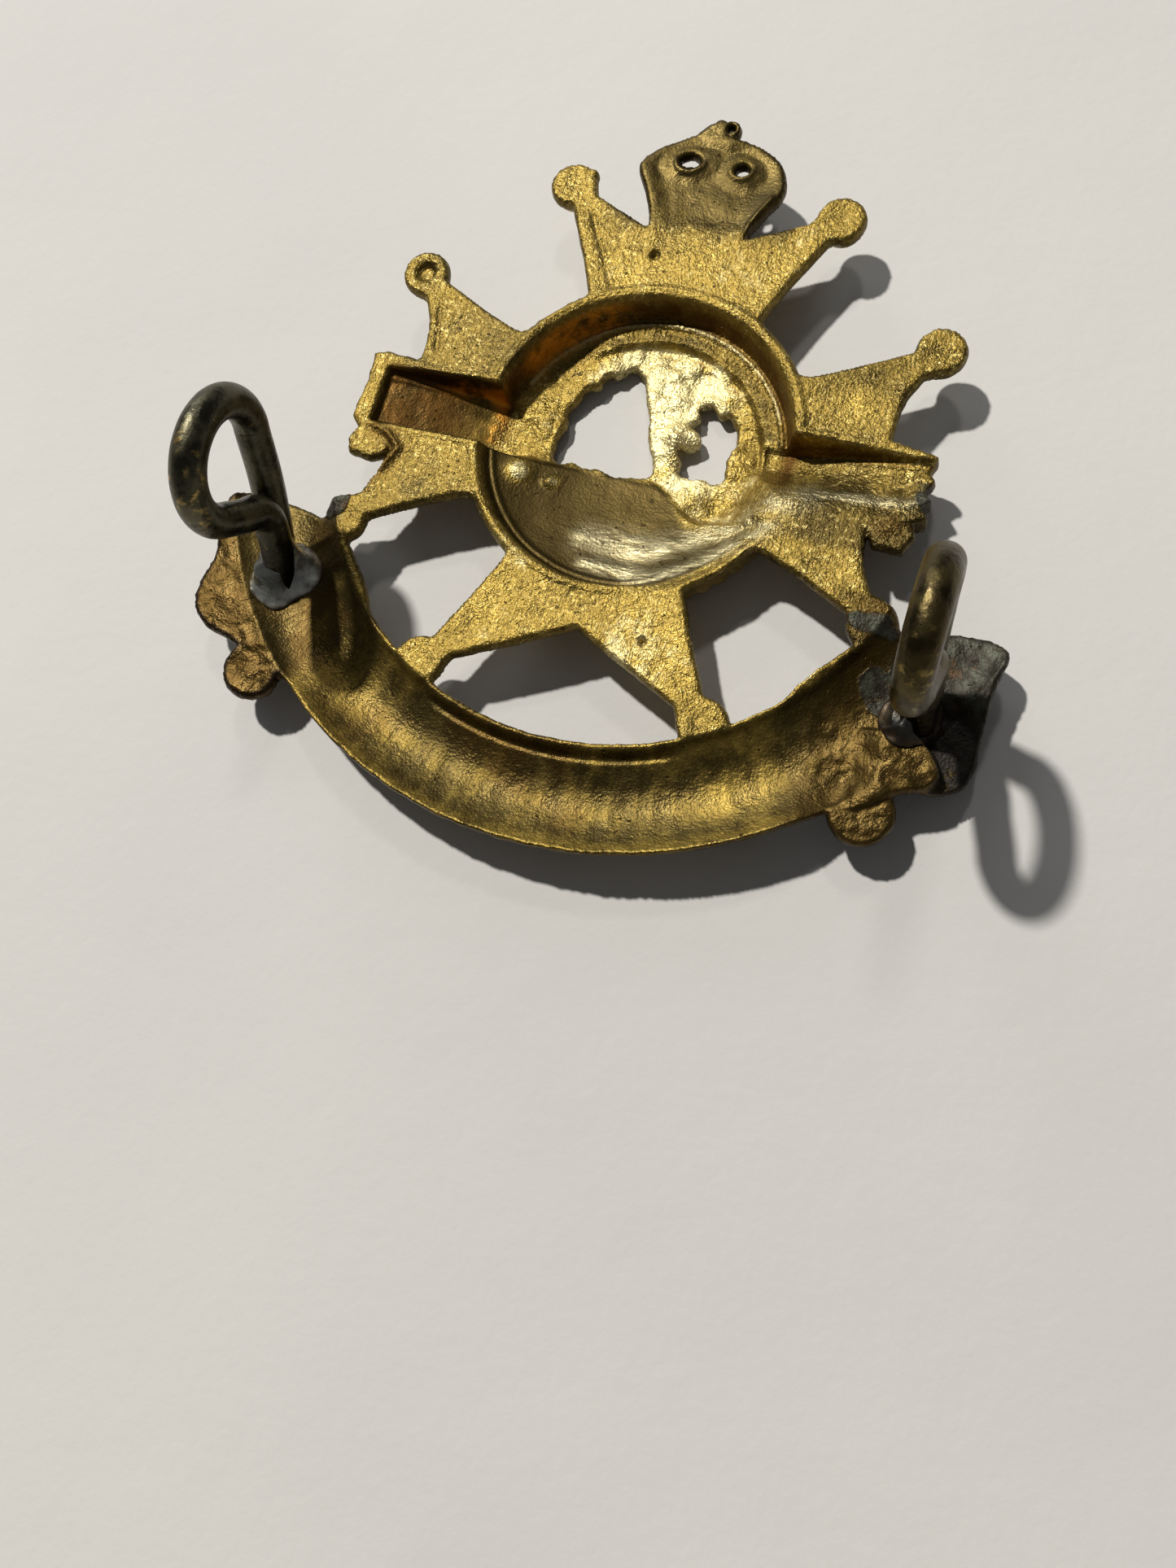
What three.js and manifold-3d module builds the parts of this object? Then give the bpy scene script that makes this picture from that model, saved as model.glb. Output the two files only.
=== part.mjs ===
// A die-struck cap badge, lying on its face with its back and its two wire lugs up.
//
// It is an eight-pointed star with ball tips, round a domed and hollow-backed centre. A ribbon crosses the centre
// from side to side, a crown stands on the top arm, and a curved scroll with folded ends lies under the star. All of
// these are one stamping: the front is raised, and the back is hollow wherever the front stands out. Two wire lugs,
// each a leaning shank and a round eye, are soldered into the hollow ends of the scroll.
//
// Millimetres, +Z up. +X is to the right and +Y towards the crown, seen from the back. In the code below the
// star's centre is at x 0, y 0, and the flat back of the star is at z 0, so the front has negative z. The group at
// the end moves the whole badge so that it stands on z 0, with the origin under the middle of its outline.

import * as THREE from "three";
import { mergeVertices } from "three/addons/utils/BufferGeometryUtils.js";
import Module from "manifold-3d";

const wasm = await Module();
wasm.setup();

// ---- Driving dimensions --------------------------------------------------------------------------------------

const SHEET = 0.9; // thickness of the struck sheet

// Star
const TIP_REACH = 16.9; // centre of the star to the centre of a ball tip
const TIP_ANGLE = THREE.MathUtils.degToRad(27.8); // from an arm's middle line to its ball tips
const BALL_R = 1.3;
const BALL_DEPTH = 1.7; // back of the ball to the front of its bulge
const NOTCH_REACH = 11.3; // centre of the star to the notch in the end of an arm
const ROOT_ANGLE = THREE.MathUtils.degToRad(30.7); // from an arm's middle line to where its sides leave the centre
const NECK_HALF = 0.65; // half the width of a point where its ball begins

// Round centre
const CENTRE_R = 9.4;
const CENTRE_RIM = 0.6; // flat rim round the hollow
const CENTRE_DEPTH = 2.45; // back of the rim to the deepest floor
const CREST_WIDTH = 0.9; // flat ring on the front that the badge lies on

// Ribbon across the centre
const RIBBON_REACH = 16.3; // centre of the star to either end of the ribbon
const RIBBON_WIDTH = 4.4;
const RIBBON_WALL = 0.5;
const RIBBON_END_DEPTH = 0.55; // depth of the channel at the ribbon's end
const TAIL_DROP = 1.8; // how far the folded tail hangs below the ribbon
const TAIL_LENGTH = 2.4;

// Crown
const CROWN_SUNK = 0.7; // notch of the top arm down to the crown's foot, which is inside the arm
const CROWN_NECK_RISE = 1.7; // the same notch up to where the crown starts to widen
const CROWN_HEIGHT = 6.3; // above its neck, without the ball on top
const CROWN_HALF = 4.3; // half its greatest width
const CROWN_NECK_HALF = 2.8;
const CROWN_HOLE_R = 0.5;
const FINIAL_R = 0.75;

// Scroll
const SCROLL_CENTRE_Y = 1.3; // centre of the arcs of the scroll
const SCROLL_BITE = 0.36; // how far the lower ball tips reach over the scroll's inner edge
const SCROLL_WIDTH = 5.6;
const SCROLL_DEPTH = 1.5; // back of the scroll's rims to the floor of its channel
const SCROLL_RIM = 0.45;
const FLAP_LAP = 0.1; // how far the front of the folded flap lies below the channel's floor
const FLAP_BEYOND = 4.3; // middle of a lug to the outer side of its flap
const CUT_SPREAD = 1.06; // share by which the channel's cut is drawn out past the flap
const TAB_R = 1.65; // round tab under the flap

// Lugs
const WIRE_R = 0.92;
const EYE_R = 3.0; // to the middle of the wire
const EYE_HEIGHT = 10; // foot of the shank to the centre of the eye
const LUG_X = 17.9;
const LUG_OUTWARD = 0.6; // from the middle of the scroll's channel towards its outer rim
const LUG_LEANS = { left: THREE.MathUtils.degToRad(16), right: THREE.MathUtils.degToRad(7) };
const SOLDER_R = 2.5;
const SOLDER_HEIGHT = 2.0; // above the floor of the scroll's channel
const SOLDER_GAP = 0.3; // clearance between the solder and what it joins

// Fineness of the round shapes
const ROUND_STEPS = 60;
const SCROLL_STEPS = 128; // round the whole circle that the scroll is cut from
const CURVE_STEPS = 8;
const ABOVE = 1; // how far a cutting solid stands proud of what it cuts

// ---- Small helpers -------------------------------------------------------------------------------------------

/** A closed three.js geometry as a manifold solid. */
function solid(geometry) {
  const bare = geometry.clone();
  for (const name of Object.keys(bare.attributes)) if (name !== "position") bare.deleteAttribute(name);
  const merged = mergeVertices(bare, 1e-4);
  return new wasm.Manifold(
    new wasm.Mesh({
      numProp: 3,
      vertProperties: new Float32Array(merged.attributes.position.array),
      triVerts: new Uint32Array(merged.index.array),
    }),
  );
}

/** A manifold solid as a three.js geometry with flat faces. */
function geometryOf(made) {
  const mesh = made.getMesh();
  const positions = new Float32Array(mesh.numVert * 3);
  for (let i = 0; i < mesh.numVert; i++) {
    positions.set(mesh.vertProperties.subarray(i * mesh.numProp, i * mesh.numProp + 3), i * 3);
  }
  const geometry = new THREE.BufferGeometry();
  geometry.setAttribute("position", new THREE.BufferAttribute(positions, 3));
  geometry.setIndex(new THREE.BufferAttribute(new Uint32Array(mesh.triVerts), 1));
  geometry.computeVertexNormals();
  return geometry;
}

/** An outline in X and Y, extruded from z low to z high. */
function prism(shape, low, high) {
  const geometry = new THREE.ExtrudeGeometry(shape, {
    depth: high - low,
    bevelEnabled: false,
    curveSegments: CURVE_STEPS,
  });
  return solid(geometry.translate(0, 0, low));
}

/** A profile of [radius, z] pairs turned about the Z axis. */
function turned(profile, steps = ROUND_STEPS) {
  const points = profile.map(([r, z]) => new THREE.Vector2(r, z));
  const geometry = new THREE.LatheGeometry(points, steps);
  const made = solid(geometry.rotateX(Math.PI / 2));
  return made.volume() < 0 ? solid(flipped(geometry)) : made;
}

/** The same geometry with its faces turned round. */
function flipped(geometry) {
  const turnedRound = geometry.clone();
  const index = turnedRound.index.array;
  for (let i = 0; i < index.length; i += 3) [index[i + 1], index[i + 2]] = [index[i + 2], index[i + 1]];
  return turnedRound;
}

/** A side view in X and Z, extruded from y low to y high. */
function sideExtrusion(shape, low, high) {
  const geometry = new THREE.ExtrudeGeometry(shape, {
    depth: high - low,
    bevelEnabled: false,
    curveSegments: CURVE_STEPS,
  });
  return solid(geometry.rotateX(Math.PI / 2).translate(0, high, 0));
}

/** An outline from [x, y] points. */
function outline(points) {
  return new THREE.Shape(points.map(([x, y]) => new THREE.Vector2(x, y)));
}

/** The solid and its mirror image in the plane x 0. */
const withMirror = (made) => made.add(made.mirror([1, 0, 0]));

const union = (solids) => solids.reduce((whole, next) => whole.add(next));

// ---- Star ----------------------------------------------------------------------------------------------------

const tip = new THREE.Vector2(Math.sin(TIP_ANGLE), Math.cos(TIP_ANGLE)).multiplyScalar(TIP_REACH);
const root = new THREE.Vector2(Math.sin(ROOT_ANGLE), Math.cos(ROOT_ANGLE)).multiplyScalar(CENTRE_R - CENTRE_RIM / 2);

/** The outline of the arm that points along +Y, without its ball tips. Its sides are drawn in a little. */
function armOutline() {
  const along = tip.clone().sub(new THREE.Vector2(root.x / 2, (root.y + NOTCH_REACH) / 2)).normalize();
  const across = new THREE.Vector2(along.y, -along.x).multiplyScalar(NECK_HALF);
  const neck = tip.clone().addScaledVector(along, -BALL_R * 0.8);
  const outer = neck.clone().add(across);
  const inner = neck.clone().sub(across);
  const outerBend = root.clone().lerp(outer, 0.6).addScaledVector(across, -0.25);
  const innerBend = new THREE.Vector2(0, NOTCH_REACH).lerp(inner, 0.6).addScaledVector(across, 0.25);
  const shape = new THREE.Shape();
  shape.moveTo(root.x, root.y);
  shape.quadraticCurveTo(outerBend.x, outerBend.y, outer.x, outer.y);
  shape.lineTo(inner.x, inner.y);
  shape.quadraticCurveTo(innerBend.x, innerBend.y, 0, NOTCH_REACH);
  shape.quadraticCurveTo(-innerBend.x, innerBend.y, -inner.x, inner.y);
  shape.lineTo(-outer.x, outer.y);
  shape.quadraticCurveTo(-outerBend.x, outerBend.y, -root.x, root.y);
  return shape;
}

/** A ball tip: flat behind, domed in front. */
function ballTip() {
  const profile = [[0, 0], [BALL_R, 0]];
  const side = BALL_DEPTH - BALL_R;
  const steps = 4;
  for (let i = 0; i <= steps; i++) {
    const a = (i / steps) * (Math.PI / 2);
    profile.push([BALL_R * Math.cos(a), -side - BALL_R * Math.sin(a)]);
  }
  profile[profile.length - 1][0] = 0;
  return turned(profile.reverse(), 16);
}

function star() {
  const arm = prism(armOutline(), -SHEET, 0);
  const ball = ballTip();
  const armWithTips = union([arm, ball.translate([tip.x, tip.y, 0]), ball.translate([-tip.x, tip.y, 0])]);
  return union([0, 90, 180, 270].map((angle) => armWithTips.rotate([0, 0, angle])));
}

// ---- Round centre --------------------------------------------------------------------------------------------

const hollowR = CENTRE_R - CENTRE_RIM;
const centreFront = -(CENTRE_DEPTH + SHEET); // lowest point of the domed front

/** The domed front of the centre, still solid behind. Its crest is a flat ring, which the badge lies on. */
function centreBody() {
  const crest = CENTRE_R * 0.77;
  return turned([
    [0, centreFront + 0.3],
    [CENTRE_R * 0.55, centreFront + 0.3],
    [CENTRE_R * 0.62, centreFront + 0.15],
    [crest - CREST_WIDTH / 2, centreFront],
    [crest + CREST_WIDTH / 2, centreFront],
    [CENTRE_R * 0.89, centreFront + 0.3],
    [CENTRE_R * 0.96, centreFront + 1.1],
    [CENTRE_R, -SHEET],
    [CENTRE_R, 0],
    [0, 0],
  ]);
}

/** The hollow behind the centre: a steep wall, a sloping ledge and a flat floor. */
function centreHollow() {
  const ledge = hollowR * 0.84;
  return turned([
    [0, -CENTRE_DEPTH + 0.25],
    [ledge - 0.25, -CENTRE_DEPTH + 0.25],
    [ledge, -CENTRE_DEPTH],
    [hollowR - 0.4, -CENTRE_DEPTH + 0.45],
    [hollowR, 0],
    [hollowR, ABOVE],
    [0, ABOVE],
  ]);
}

/** The two pierced voids, one each side of the leaning stem in the middle of the centre. */
function centreVoids() {
  const left = outline([
    [-4.75, -1.0], [-2.6, -1.35], [-0.9, -1.15], [0.85, -1.3], [0.45, 0.6], [-0.15, 2.4], [-0.7, 4.1],
    [-1.1, 5.1], [-2.0, 5.2], [-2.6, 4.4], [-3.5, 4.15], [-4.2, 3.6], [-4.65, 2.4], [-4.9, 0.8],
  ]);
  const right = outline([
    [2.7, -0.7], [3.5, -0.95], [4.5, -0.75], [4.75, 0.9], [4.85, 2.6], [4.2, 3.5], [3.1, 3.85], [2.2, 3.4],
    [2.35, 2.5], [3.1, 1.9], [2.9, 1.2], [2.1, 0.9],
  ]);
  return prism(left, centreFront - ABOVE, ABOVE).add(prism(right, centreFront - ABOVE, ABOVE));
}

// ---- Ribbon --------------------------------------------------------------------------------------------------

const ribbonTop = RIBBON_WIDTH / 2 + 0.1;
const ribbonBottom = ribbonTop - RIBBON_WIDTH;

/** One half of the ribbon, on the +X side: it comes off the domed centre and sinks to the star's level. */
function ribbonBody() {
  const start = hollowR - 1;
  const side = new THREE.Shape();
  side.moveTo(start, 0);
  side.lineTo(RIBBON_REACH, 0);
  side.lineTo(RIBBON_REACH, -SHEET - RIBBON_END_DEPTH);
  side.quadraticCurveTo(CENTRE_R + 2, centreFront + 0.5, start, centreFront + 0.2);
  return sideExtrusion(side, ribbonBottom, ribbonTop);
}

function ribbonHollow() {
  const start = hollowR - 1;
  const end = RIBBON_REACH - RIBBON_WALL * 1.6;
  const side = new THREE.Shape();
  side.moveTo(start, ABOVE);
  side.lineTo(start, centreFront + SHEET + 0.2);
  side.quadraticCurveTo(CENTRE_R + 2, centreFront + SHEET + 0.5, end, -RIBBON_END_DEPTH);
  side.lineTo(end, ABOVE);
  return sideExtrusion(side, ribbonBottom + RIBBON_WALL, ribbonTop - RIBBON_WALL);
}

/** The folded tail under the end of the ribbon. */
function ribbonTail() {
  const outer = RIBBON_REACH - 0.2;
  return prism(
    outline([
      [outer - TAIL_LENGTH - 0.6, ribbonBottom + 0.4],
      [outer - TAIL_LENGTH, ribbonBottom - TAIL_DROP + 0.2],
      [outer - 0.3, ribbonBottom - TAIL_DROP],
      [outer, ribbonBottom - TAIL_DROP * 0.5],
      [outer - 0.4, ribbonBottom + 0.4],
    ]),
    -SHEET,
    0,
  );
}

// ---- Crown ---------------------------------------------------------------------------------------------------

/** A plain crown: a foot in the notch of the top arm, a bulging cap and a ball on top. */
function crown() {
  const foot = NOTCH_REACH - CROWN_SUNK;
  const neck = NOTCH_REACH + CROWN_NECK_RISE;
  const top = neck + CROWN_HEIGHT;
  const widest = THREE.MathUtils.lerp(neck, top, 0.56);
  const shape = new THREE.Shape();
  shape.moveTo(-CROWN_NECK_HALF, foot);
  shape.lineTo(CROWN_NECK_HALF, foot);
  shape.lineTo(CROWN_NECK_HALF, neck);
  shape.lineTo(CROWN_HALF, widest);
  shape.bezierCurveTo(CROWN_HALF, widest + 1.6, CROWN_HALF * 0.5, top, 0, top);
  shape.bezierCurveTo(-CROWN_HALF * 0.5, top, -CROWN_HALF, widest + 1.6, -CROWN_HALF, widest);
  shape.lineTo(-CROWN_NECK_HALF, neck);
  const cap = prism(shape, -SHEET - 0.3, 0);
  const finial = turned(
    [[0, -SHEET - 0.2], [FINIAL_R * 0.7, -SHEET - 0.1], [FINIAL_R, -SHEET / 2], [FINIAL_R, 0], [0, 0]],
    12,
  ).translate([0, top + FINIAL_R * 0.4, 0]);
  const hole = new THREE.Shape();
  hole.absarc(CROWN_HALF * 0.36, widest + 0.9, CROWN_HOLE_R, 0, 2 * Math.PI);
  return cap.add(finial).subtract(withMirror(prism(hole, -SHEET - ABOVE, ABOVE)));
}

// ---- Scroll --------------------------------------------------------------------------------------------------

const scrollInnerR = Math.hypot(tip.x, tip.y + SCROLL_CENTRE_Y) + BALL_R - SCROLL_BITE;
const scrollOuterR = scrollInnerR + SCROLL_WIDTH;
const scrollMiddleR = (scrollInnerR + scrollOuterR) / 2;
const scrollFloor = -SCROLL_DEPTH;
const flapFront = scrollFloor - FLAP_LAP;
const flapBack = flapFront + SHEET;
const lugY = SCROLL_CENTRE_Y - Math.sqrt((scrollMiddleR + LUG_OUTWARD) ** 2 - LUG_X ** 2);

/** The outline of the folded flap on the +X side, with room for its round tab. It also bounds the end of the
 *  scroll. spread draws it larger about the lug, so that what it bounds cuts right through the flap's edge. */
function endOutline(spread = 1) {
  const at = (dx, dy) => [LUG_X + dx * spread, lugY + dy * spread];
  const reach = FLAP_BEYOND;
  const shape = new THREE.Shape();
  shape.moveTo(...at(-5.7, -1.1));
  shape.lineTo(...at(-2.7, 3.6));
  shape.quadraticCurveTo(...at(0, 4.9), ...at(reach - 0.7, 4.5));
  shape.quadraticCurveTo(...at(reach, 4.2), ...at(reach - 0.2, 3.2));
  shape.quadraticCurveTo(...at(reach - 0.8, 0.8), ...at(reach, -1.6));
  shape.quadraticCurveTo(...at(reach, -3.6), ...at(reach - 2.6, -4.1));
  shape.lineTo(...at(-1, -4.3));
  shape.lineTo(...at(-3.6, -6.0));
  shape.lineTo(...at(-4.5, -5.1));
  return shape;
}

function tab() {
  const shape = new THREE.Shape();
  shape.absarc(LUG_X - 0.6, lugY - 5.3, TAB_R, 0, 2 * Math.PI);
  return prism(shape, flapFront, flapBack);
}

/** The part of a turned ring that belongs to the scroll: a wedge under the star and the two ends. */
function scrollPart(ring, spread) {
  const reach = 30;
  const halfAngle = THREE.MathUtils.degToRad(47);
  const wedge = outline([
    [0, SCROLL_CENTRE_Y],
    [-reach * Math.tan(halfAngle), SCROLL_CENTRE_Y - reach],
    [reach * Math.tan(halfAngle), SCROLL_CENTRE_Y - reach],
  ]);
  const region = prism(wedge, -5, 5).add(withMirror(prism(endOutline(spread), -5, 5)));
  return ring.translate([0, SCROLL_CENTRE_Y, 0]).intersect(region);
}

/** The curved band: convex in front. */
function scrollBody() {
  return scrollPart(
    turned(
      [
        [scrollInnerR, 0],
        [scrollInnerR, -SHEET],
        [scrollInnerR + 1.0, -SCROLL_DEPTH - SHEET * 0.8],
        [scrollMiddleR, -SCROLL_DEPTH - SHEET],
        [scrollOuterR - 1.0, -SCROLL_DEPTH - SHEET * 0.6],
        [scrollOuterR, -SHEET],
        [scrollOuterR, 0],
        [scrollInnerR, 0],
      ],
      SCROLL_STEPS,
    ),
  );
}

/** The channel behind the band, drawn in by inset on every side. */
function scrollHollow(inset = 0) {
  const inner = scrollInnerR + SCROLL_RIM + inset;
  const outer = scrollOuterR - SCROLL_RIM - inset;
  const ring = turned(
    [
      [inner, ABOVE + 1],
      [inner, 0],
      [inner + 0.6, scrollFloor + 0.3 + inset],
      [inner + 1.3, scrollFloor + inset],
      [outer - 0.7, scrollFloor + inset],
      [outer - 0.2, scrollFloor + 0.8 + inset],
      [outer, 0],
      [outer, ABOVE + 1],
      [inner, ABOVE + 1],
    ],
    SCROLL_STEPS,
  );
  return scrollPart(ring, CUT_SPREAD);
}

function flaps() {
  return withMirror(union([prism(endOutline(), flapFront, flapBack), tab()]));
}

// ---- Whole plate ---------------------------------------------------------------------------------------------

function badgePlate() {
  const raised = union([
    star(),
    centreBody(),
    withMirror(ribbonBody()),
    withMirror(ribbonTail()),
    crown(),
    scrollBody(),
    flaps(),
  ]);
  const cuts = union([centreHollow(), withMirror(ribbonHollow()), centreVoids(), scrollHollow()]);
  return raised.subtract(cuts);
}

// ---- Lugs and solder -----------------------------------------------------------------------------------------

/** A wire lug on the floor of the scroll's channel: an eye, and a shank that runs off it at a tangent.
 *  grow thickens the wire, for the clearance of what surrounds it. */
function lug(side, grow = 0) {
  const wire = WIRE_R + grow;
  const tangentAngle = Math.asin(EYE_R / EYE_HEIGHT);
  const shankLength = Math.sqrt(EYE_HEIGHT ** 2 - EYE_R ** 2);
  const eye = new THREE.TorusGeometry(EYE_R, wire, 12, 36).rotateY(Math.PI / 2).translate(0, 0, EYE_HEIGHT);
  const below = 2;
  const shank = new THREE.CylinderGeometry(wire, wire, shankLength + below, 12)
    .translate(0, (shankLength - below) / 2, 0)
    .rotateX(Math.PI / 2 - tangentAngle);
  const whole = solid(eye).add(solid(shank));
  const leaning = whole.rotate([-THREE.MathUtils.radToDeg(LUG_LEANS[side]), 0, 0]);
  const foot = scrollFloor + SOLDER_GAP - grow;
  const x = side === "left" ? -LUG_X : LUG_X;
  const under = solid(new THREE.BoxGeometry(20, 20, 10).translate(x, lugY, foot - 5));
  return leaning.translate([x, lugY, scrollFloor]).subtract(under);
}

/** The solder fillet round the foot of a lug, inside the scroll's channel. */
function solder(side) {
  const x = side === "left" ? -LUG_X : LUG_X;
  const heap = turned(
    [
      [0, scrollFloor],
      [SOLDER_R, scrollFloor],
      [SOLDER_R * 0.94, scrollFloor + SOLDER_HEIGHT * 0.4],
      [SOLDER_R * 0.72, scrollFloor + SOLDER_HEIGHT * 0.75],
      [SOLDER_R * 0.58, scrollFloor + SOLDER_HEIGHT],
      [0, scrollFloor + SOLDER_HEIGHT],
    ].reverse(),
    24,
  );
  const followsShank = 0.35; // the heap is centred a little up the leaning shank
  return heap
    .translate([x, lugY + followsShank, 0])
    .intersect(scrollHollow(SOLDER_GAP))
    .subtract(lug(side, SOLDER_GAP));
}

// ---- The assembly --------------------------------------------------------------------------------------------

function material(color, roughness, metalness) {
  return new THREE.MeshStandardMaterial({ color, roughness, metalness });
}

const gilding = material(0xb8923a, 0.35, 1);
const lugWire = material(0x4a4030, 0.45, 1);
const tin = material(0x8c8c86, 0.3, 1);

const pieces = [
  ["badge_plate", badgePlate(), gilding],
  ["left_lug", lug("left"), lugWire],
  ["right_lug", lug("right"), lugWire],
  ["left_solder", solder("left"), tin],
  ["right_solder", solder("right"), tin],
];

const plateBox = new THREE.Box3().setFromBufferAttribute(geometryOf(pieces[0][1]).getAttribute("position"));
const middle = plateBox.getCenter(new THREE.Vector3());

const badge = new THREE.Group();
badge.position.set(0, -middle.y, -plateBox.min.z);
for (const [name, made, finish] of pieces) {
  const mesh = new THREE.Mesh(geometryOf(made), finish);
  mesh.name = name;
  badge.add(mesh);
}

export default badge;
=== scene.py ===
"""The cap badge's looks: a die-struck gilding-metal plate lying on its face, with two soldered wire lugs.

Lengths in this script are in millimetres, with x 0, y 0 at the star's centre and z 0 on its flat back, and
in_frame() turns them into the frame's metres. The plate is one mesh: a back surface and a front surface over
the same outline, joined by the cut edge. The outline is a signed distance, negative inside, so that what lies
near an edge can be rolled over, dished or darkened by its distance from it. Left and right are as seen from
the back, which is up."""

import math

import bpy
import numpy as np
from mathutils import Matrix, Vector


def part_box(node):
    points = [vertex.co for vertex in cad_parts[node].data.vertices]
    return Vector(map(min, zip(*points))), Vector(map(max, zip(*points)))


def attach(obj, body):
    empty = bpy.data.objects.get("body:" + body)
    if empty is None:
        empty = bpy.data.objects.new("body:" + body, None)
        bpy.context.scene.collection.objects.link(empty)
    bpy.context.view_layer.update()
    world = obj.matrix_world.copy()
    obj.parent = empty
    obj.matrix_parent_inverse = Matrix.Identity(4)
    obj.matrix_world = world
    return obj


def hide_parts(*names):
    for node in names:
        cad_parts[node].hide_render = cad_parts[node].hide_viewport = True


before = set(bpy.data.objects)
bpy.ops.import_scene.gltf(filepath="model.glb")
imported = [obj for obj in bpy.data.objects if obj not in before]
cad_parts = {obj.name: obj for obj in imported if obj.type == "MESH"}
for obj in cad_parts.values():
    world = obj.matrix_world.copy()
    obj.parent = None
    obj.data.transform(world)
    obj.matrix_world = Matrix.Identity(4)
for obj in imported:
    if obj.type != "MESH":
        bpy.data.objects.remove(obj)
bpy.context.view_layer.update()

MM = 0.001
PLATE_LOW, PLATE_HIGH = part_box("badge_plate")
CROWN_TOP = 20.35  # star's centre to the top of the crown, which is the plate's highest Y
ORIGIN = np.array([0.0, PLATE_HIGH.y - CROWN_TOP * MM, PLATE_HIGH.z])

# The star and the round centre
SHEET = 0.9
TIP_REACH = 16.9
TIP_ANGLE = math.radians(27.8)
BALL_R = 1.32
CENTRE_R = 9.4
LIP_R = 8.72  # where the wall of the hollow starts
WALL_FOOT_R = 8.2
LEDGE_R = 7.0  # inner edge of the ledge
WALL_DROP = 1.95  # flat back to ledge
FLOOR_DROP = 0.42  # ledge to hammered floor
BOWL_DEPTH = 2.35
CREST_R = 7.24  # highest ring on the front
CREST = -(PLATE_HIGH.z - PLATE_LOW.z) / MM

# The ribbon
CHANNEL_SHALLOW = 0.5  # depth at its ends
CHANNEL_FALL = 1.85  # how much deeper it is at the centre

# The scroll, a band between two arcs
INNER_Y, INNER_R = -0.7, 16.85
OUTER_Y, OUTER_R = 0.0, 23.25
SCROLL_Y = -6.5  # all of it lies below this
TROUGH_DEPTH = 1.25

# The lugs, each a wire with an eye on a leaning shank
LUG_X, LUG_Y = 17.9, -12.17
FOOT_Z = -1.5
WIRE_R = 0.92
EYE_R = 3.0  # to the middle of the wire
EYE_HEIGHT = 10.0  # foot of the shank to the centre of the eye
LUG_LEANS = {"left": math.radians(16), "right": math.radians(7)}
TANGENT = math.asin(EYE_R / EYE_HEIGHT)  # between the shank and the line to the eye's centre

# The mesh
STEP = 0.11  # side of a grid cell
EDGE_ROLL, FRONT_ROLL = 0.22, 0.3  # radii that the edges are rolled over by
WALL_LEVELS = 3  # rings of points in the cut edge, between back and front
THINNEST = 0.5  # the front stays this far behind the back
FAR, TINY = 1e9, 1e-9  # further than any point, and nearly 0


def rows(*points):
    return np.array(points, float)


def in_frame(points):
    """Millimetres from the star's centre to metres in the frame."""
    return np.asarray(points, float) * MM + ORIGIN


# ---- Smooth functions ----


def smooth(low, high, value):
    """0 below low, 1 above high, and a smooth step between. low may be above high."""
    t = np.clip((value - low) / (high - low), 0.0, 1.0)
    return t * t * (3 - 2 * t)


def bell(value, width):
    return np.exp(-((value / width) ** 2))


def soft_union(a, b, k):
    """The smaller of two distances, with a fillet of about k where they meet."""
    h = np.clip(0.5 + 0.5 * (b - a) / k, 0.0, 1.0)
    return b * (1 - h) + a * h - k * h * (1 - h)


def noise(x, y, size, seed):
    """Smooth noise between -1 and 1 with features of about size millimetres."""
    cells = 64
    table = np.random.default_rng(seed).uniform(-1, 1, (cells, cells))
    u, v = x / size + 1000.37, y / size + 1000.71  # so that no feature sits on an axis
    i, j = np.floor(u).astype(int), np.floor(v).astype(int)
    fu, fv = u - i, v - j
    fu, fv = fu * fu * (3 - 2 * fu), fv * fv * (3 - 2 * fv)
    at = lambda a, b: table[a % cells, b % cells]
    near = at(i, j) * (1 - fu) + at(i + 1, j) * fu
    far = at(i, j + 1) * (1 - fu) + at(i + 1, j + 1) * fu
    return near * (1 - fv) + far * fv


def rough(x, y, size, seed):
    """Three octaves of noise, each turned against the last so that no grid shows."""
    total = np.zeros_like(x)
    for octave, share in enumerate((0.55, 0.3, 0.15)):
        turn = 0.6 + 1.1 * octave
        u = x * math.cos(turn) - y * math.sin(turn)
        v = x * math.sin(turn) + y * math.cos(turn)
        total += share * noise(u, v, size / 2**octave, seed + 7 * octave)
    return total


# ---- Distances to outlines ----


def away(x, y, cx, cy, sx=1, sy=1):
    """Distance from a point, with x and y each scaled."""
    return np.hypot((x - cx) * sx, (y - cy) * sy)


def circle(x, y, cx, cy, r):
    return away(x, y, cx, cy) - r


def to_segment(x, y, a, b):
    """Distance to the straight line from a to b."""
    ex, ey = b[0] - a[0], b[1] - a[1]
    t = np.clip(((x - a[0]) * ex + (y - a[1]) * ey) / (ex * ex + ey * ey), 0, 1)
    return np.hypot(x - a[0] - t * ex, y - a[1] - t * ey)


def polygon(x, y, points):
    """Signed distance to a closed polygon."""
    best = np.full(x.shape, FAR)
    inside = np.zeros(x.shape, bool)
    for a, b in zip(points, np.roll(points, -1, axis=0)):
        best = np.minimum(best, to_segment(x, y, a, b))
        crosses = (a[1] > y) != (b[1] > y)
        at = a[0] + (y - a[1]) * (b[0] - a[0]) / ((b[1] - a[1]) or TINY)
        inside ^= crosses & (x < at)
    return np.where(inside, -best, best)


def to_line(x, y, *points):
    """Distance to an open line through points."""
    return np.min([to_segment(x, y, a, b) for a, b in zip(points, points[1:])], axis=0)


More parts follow.
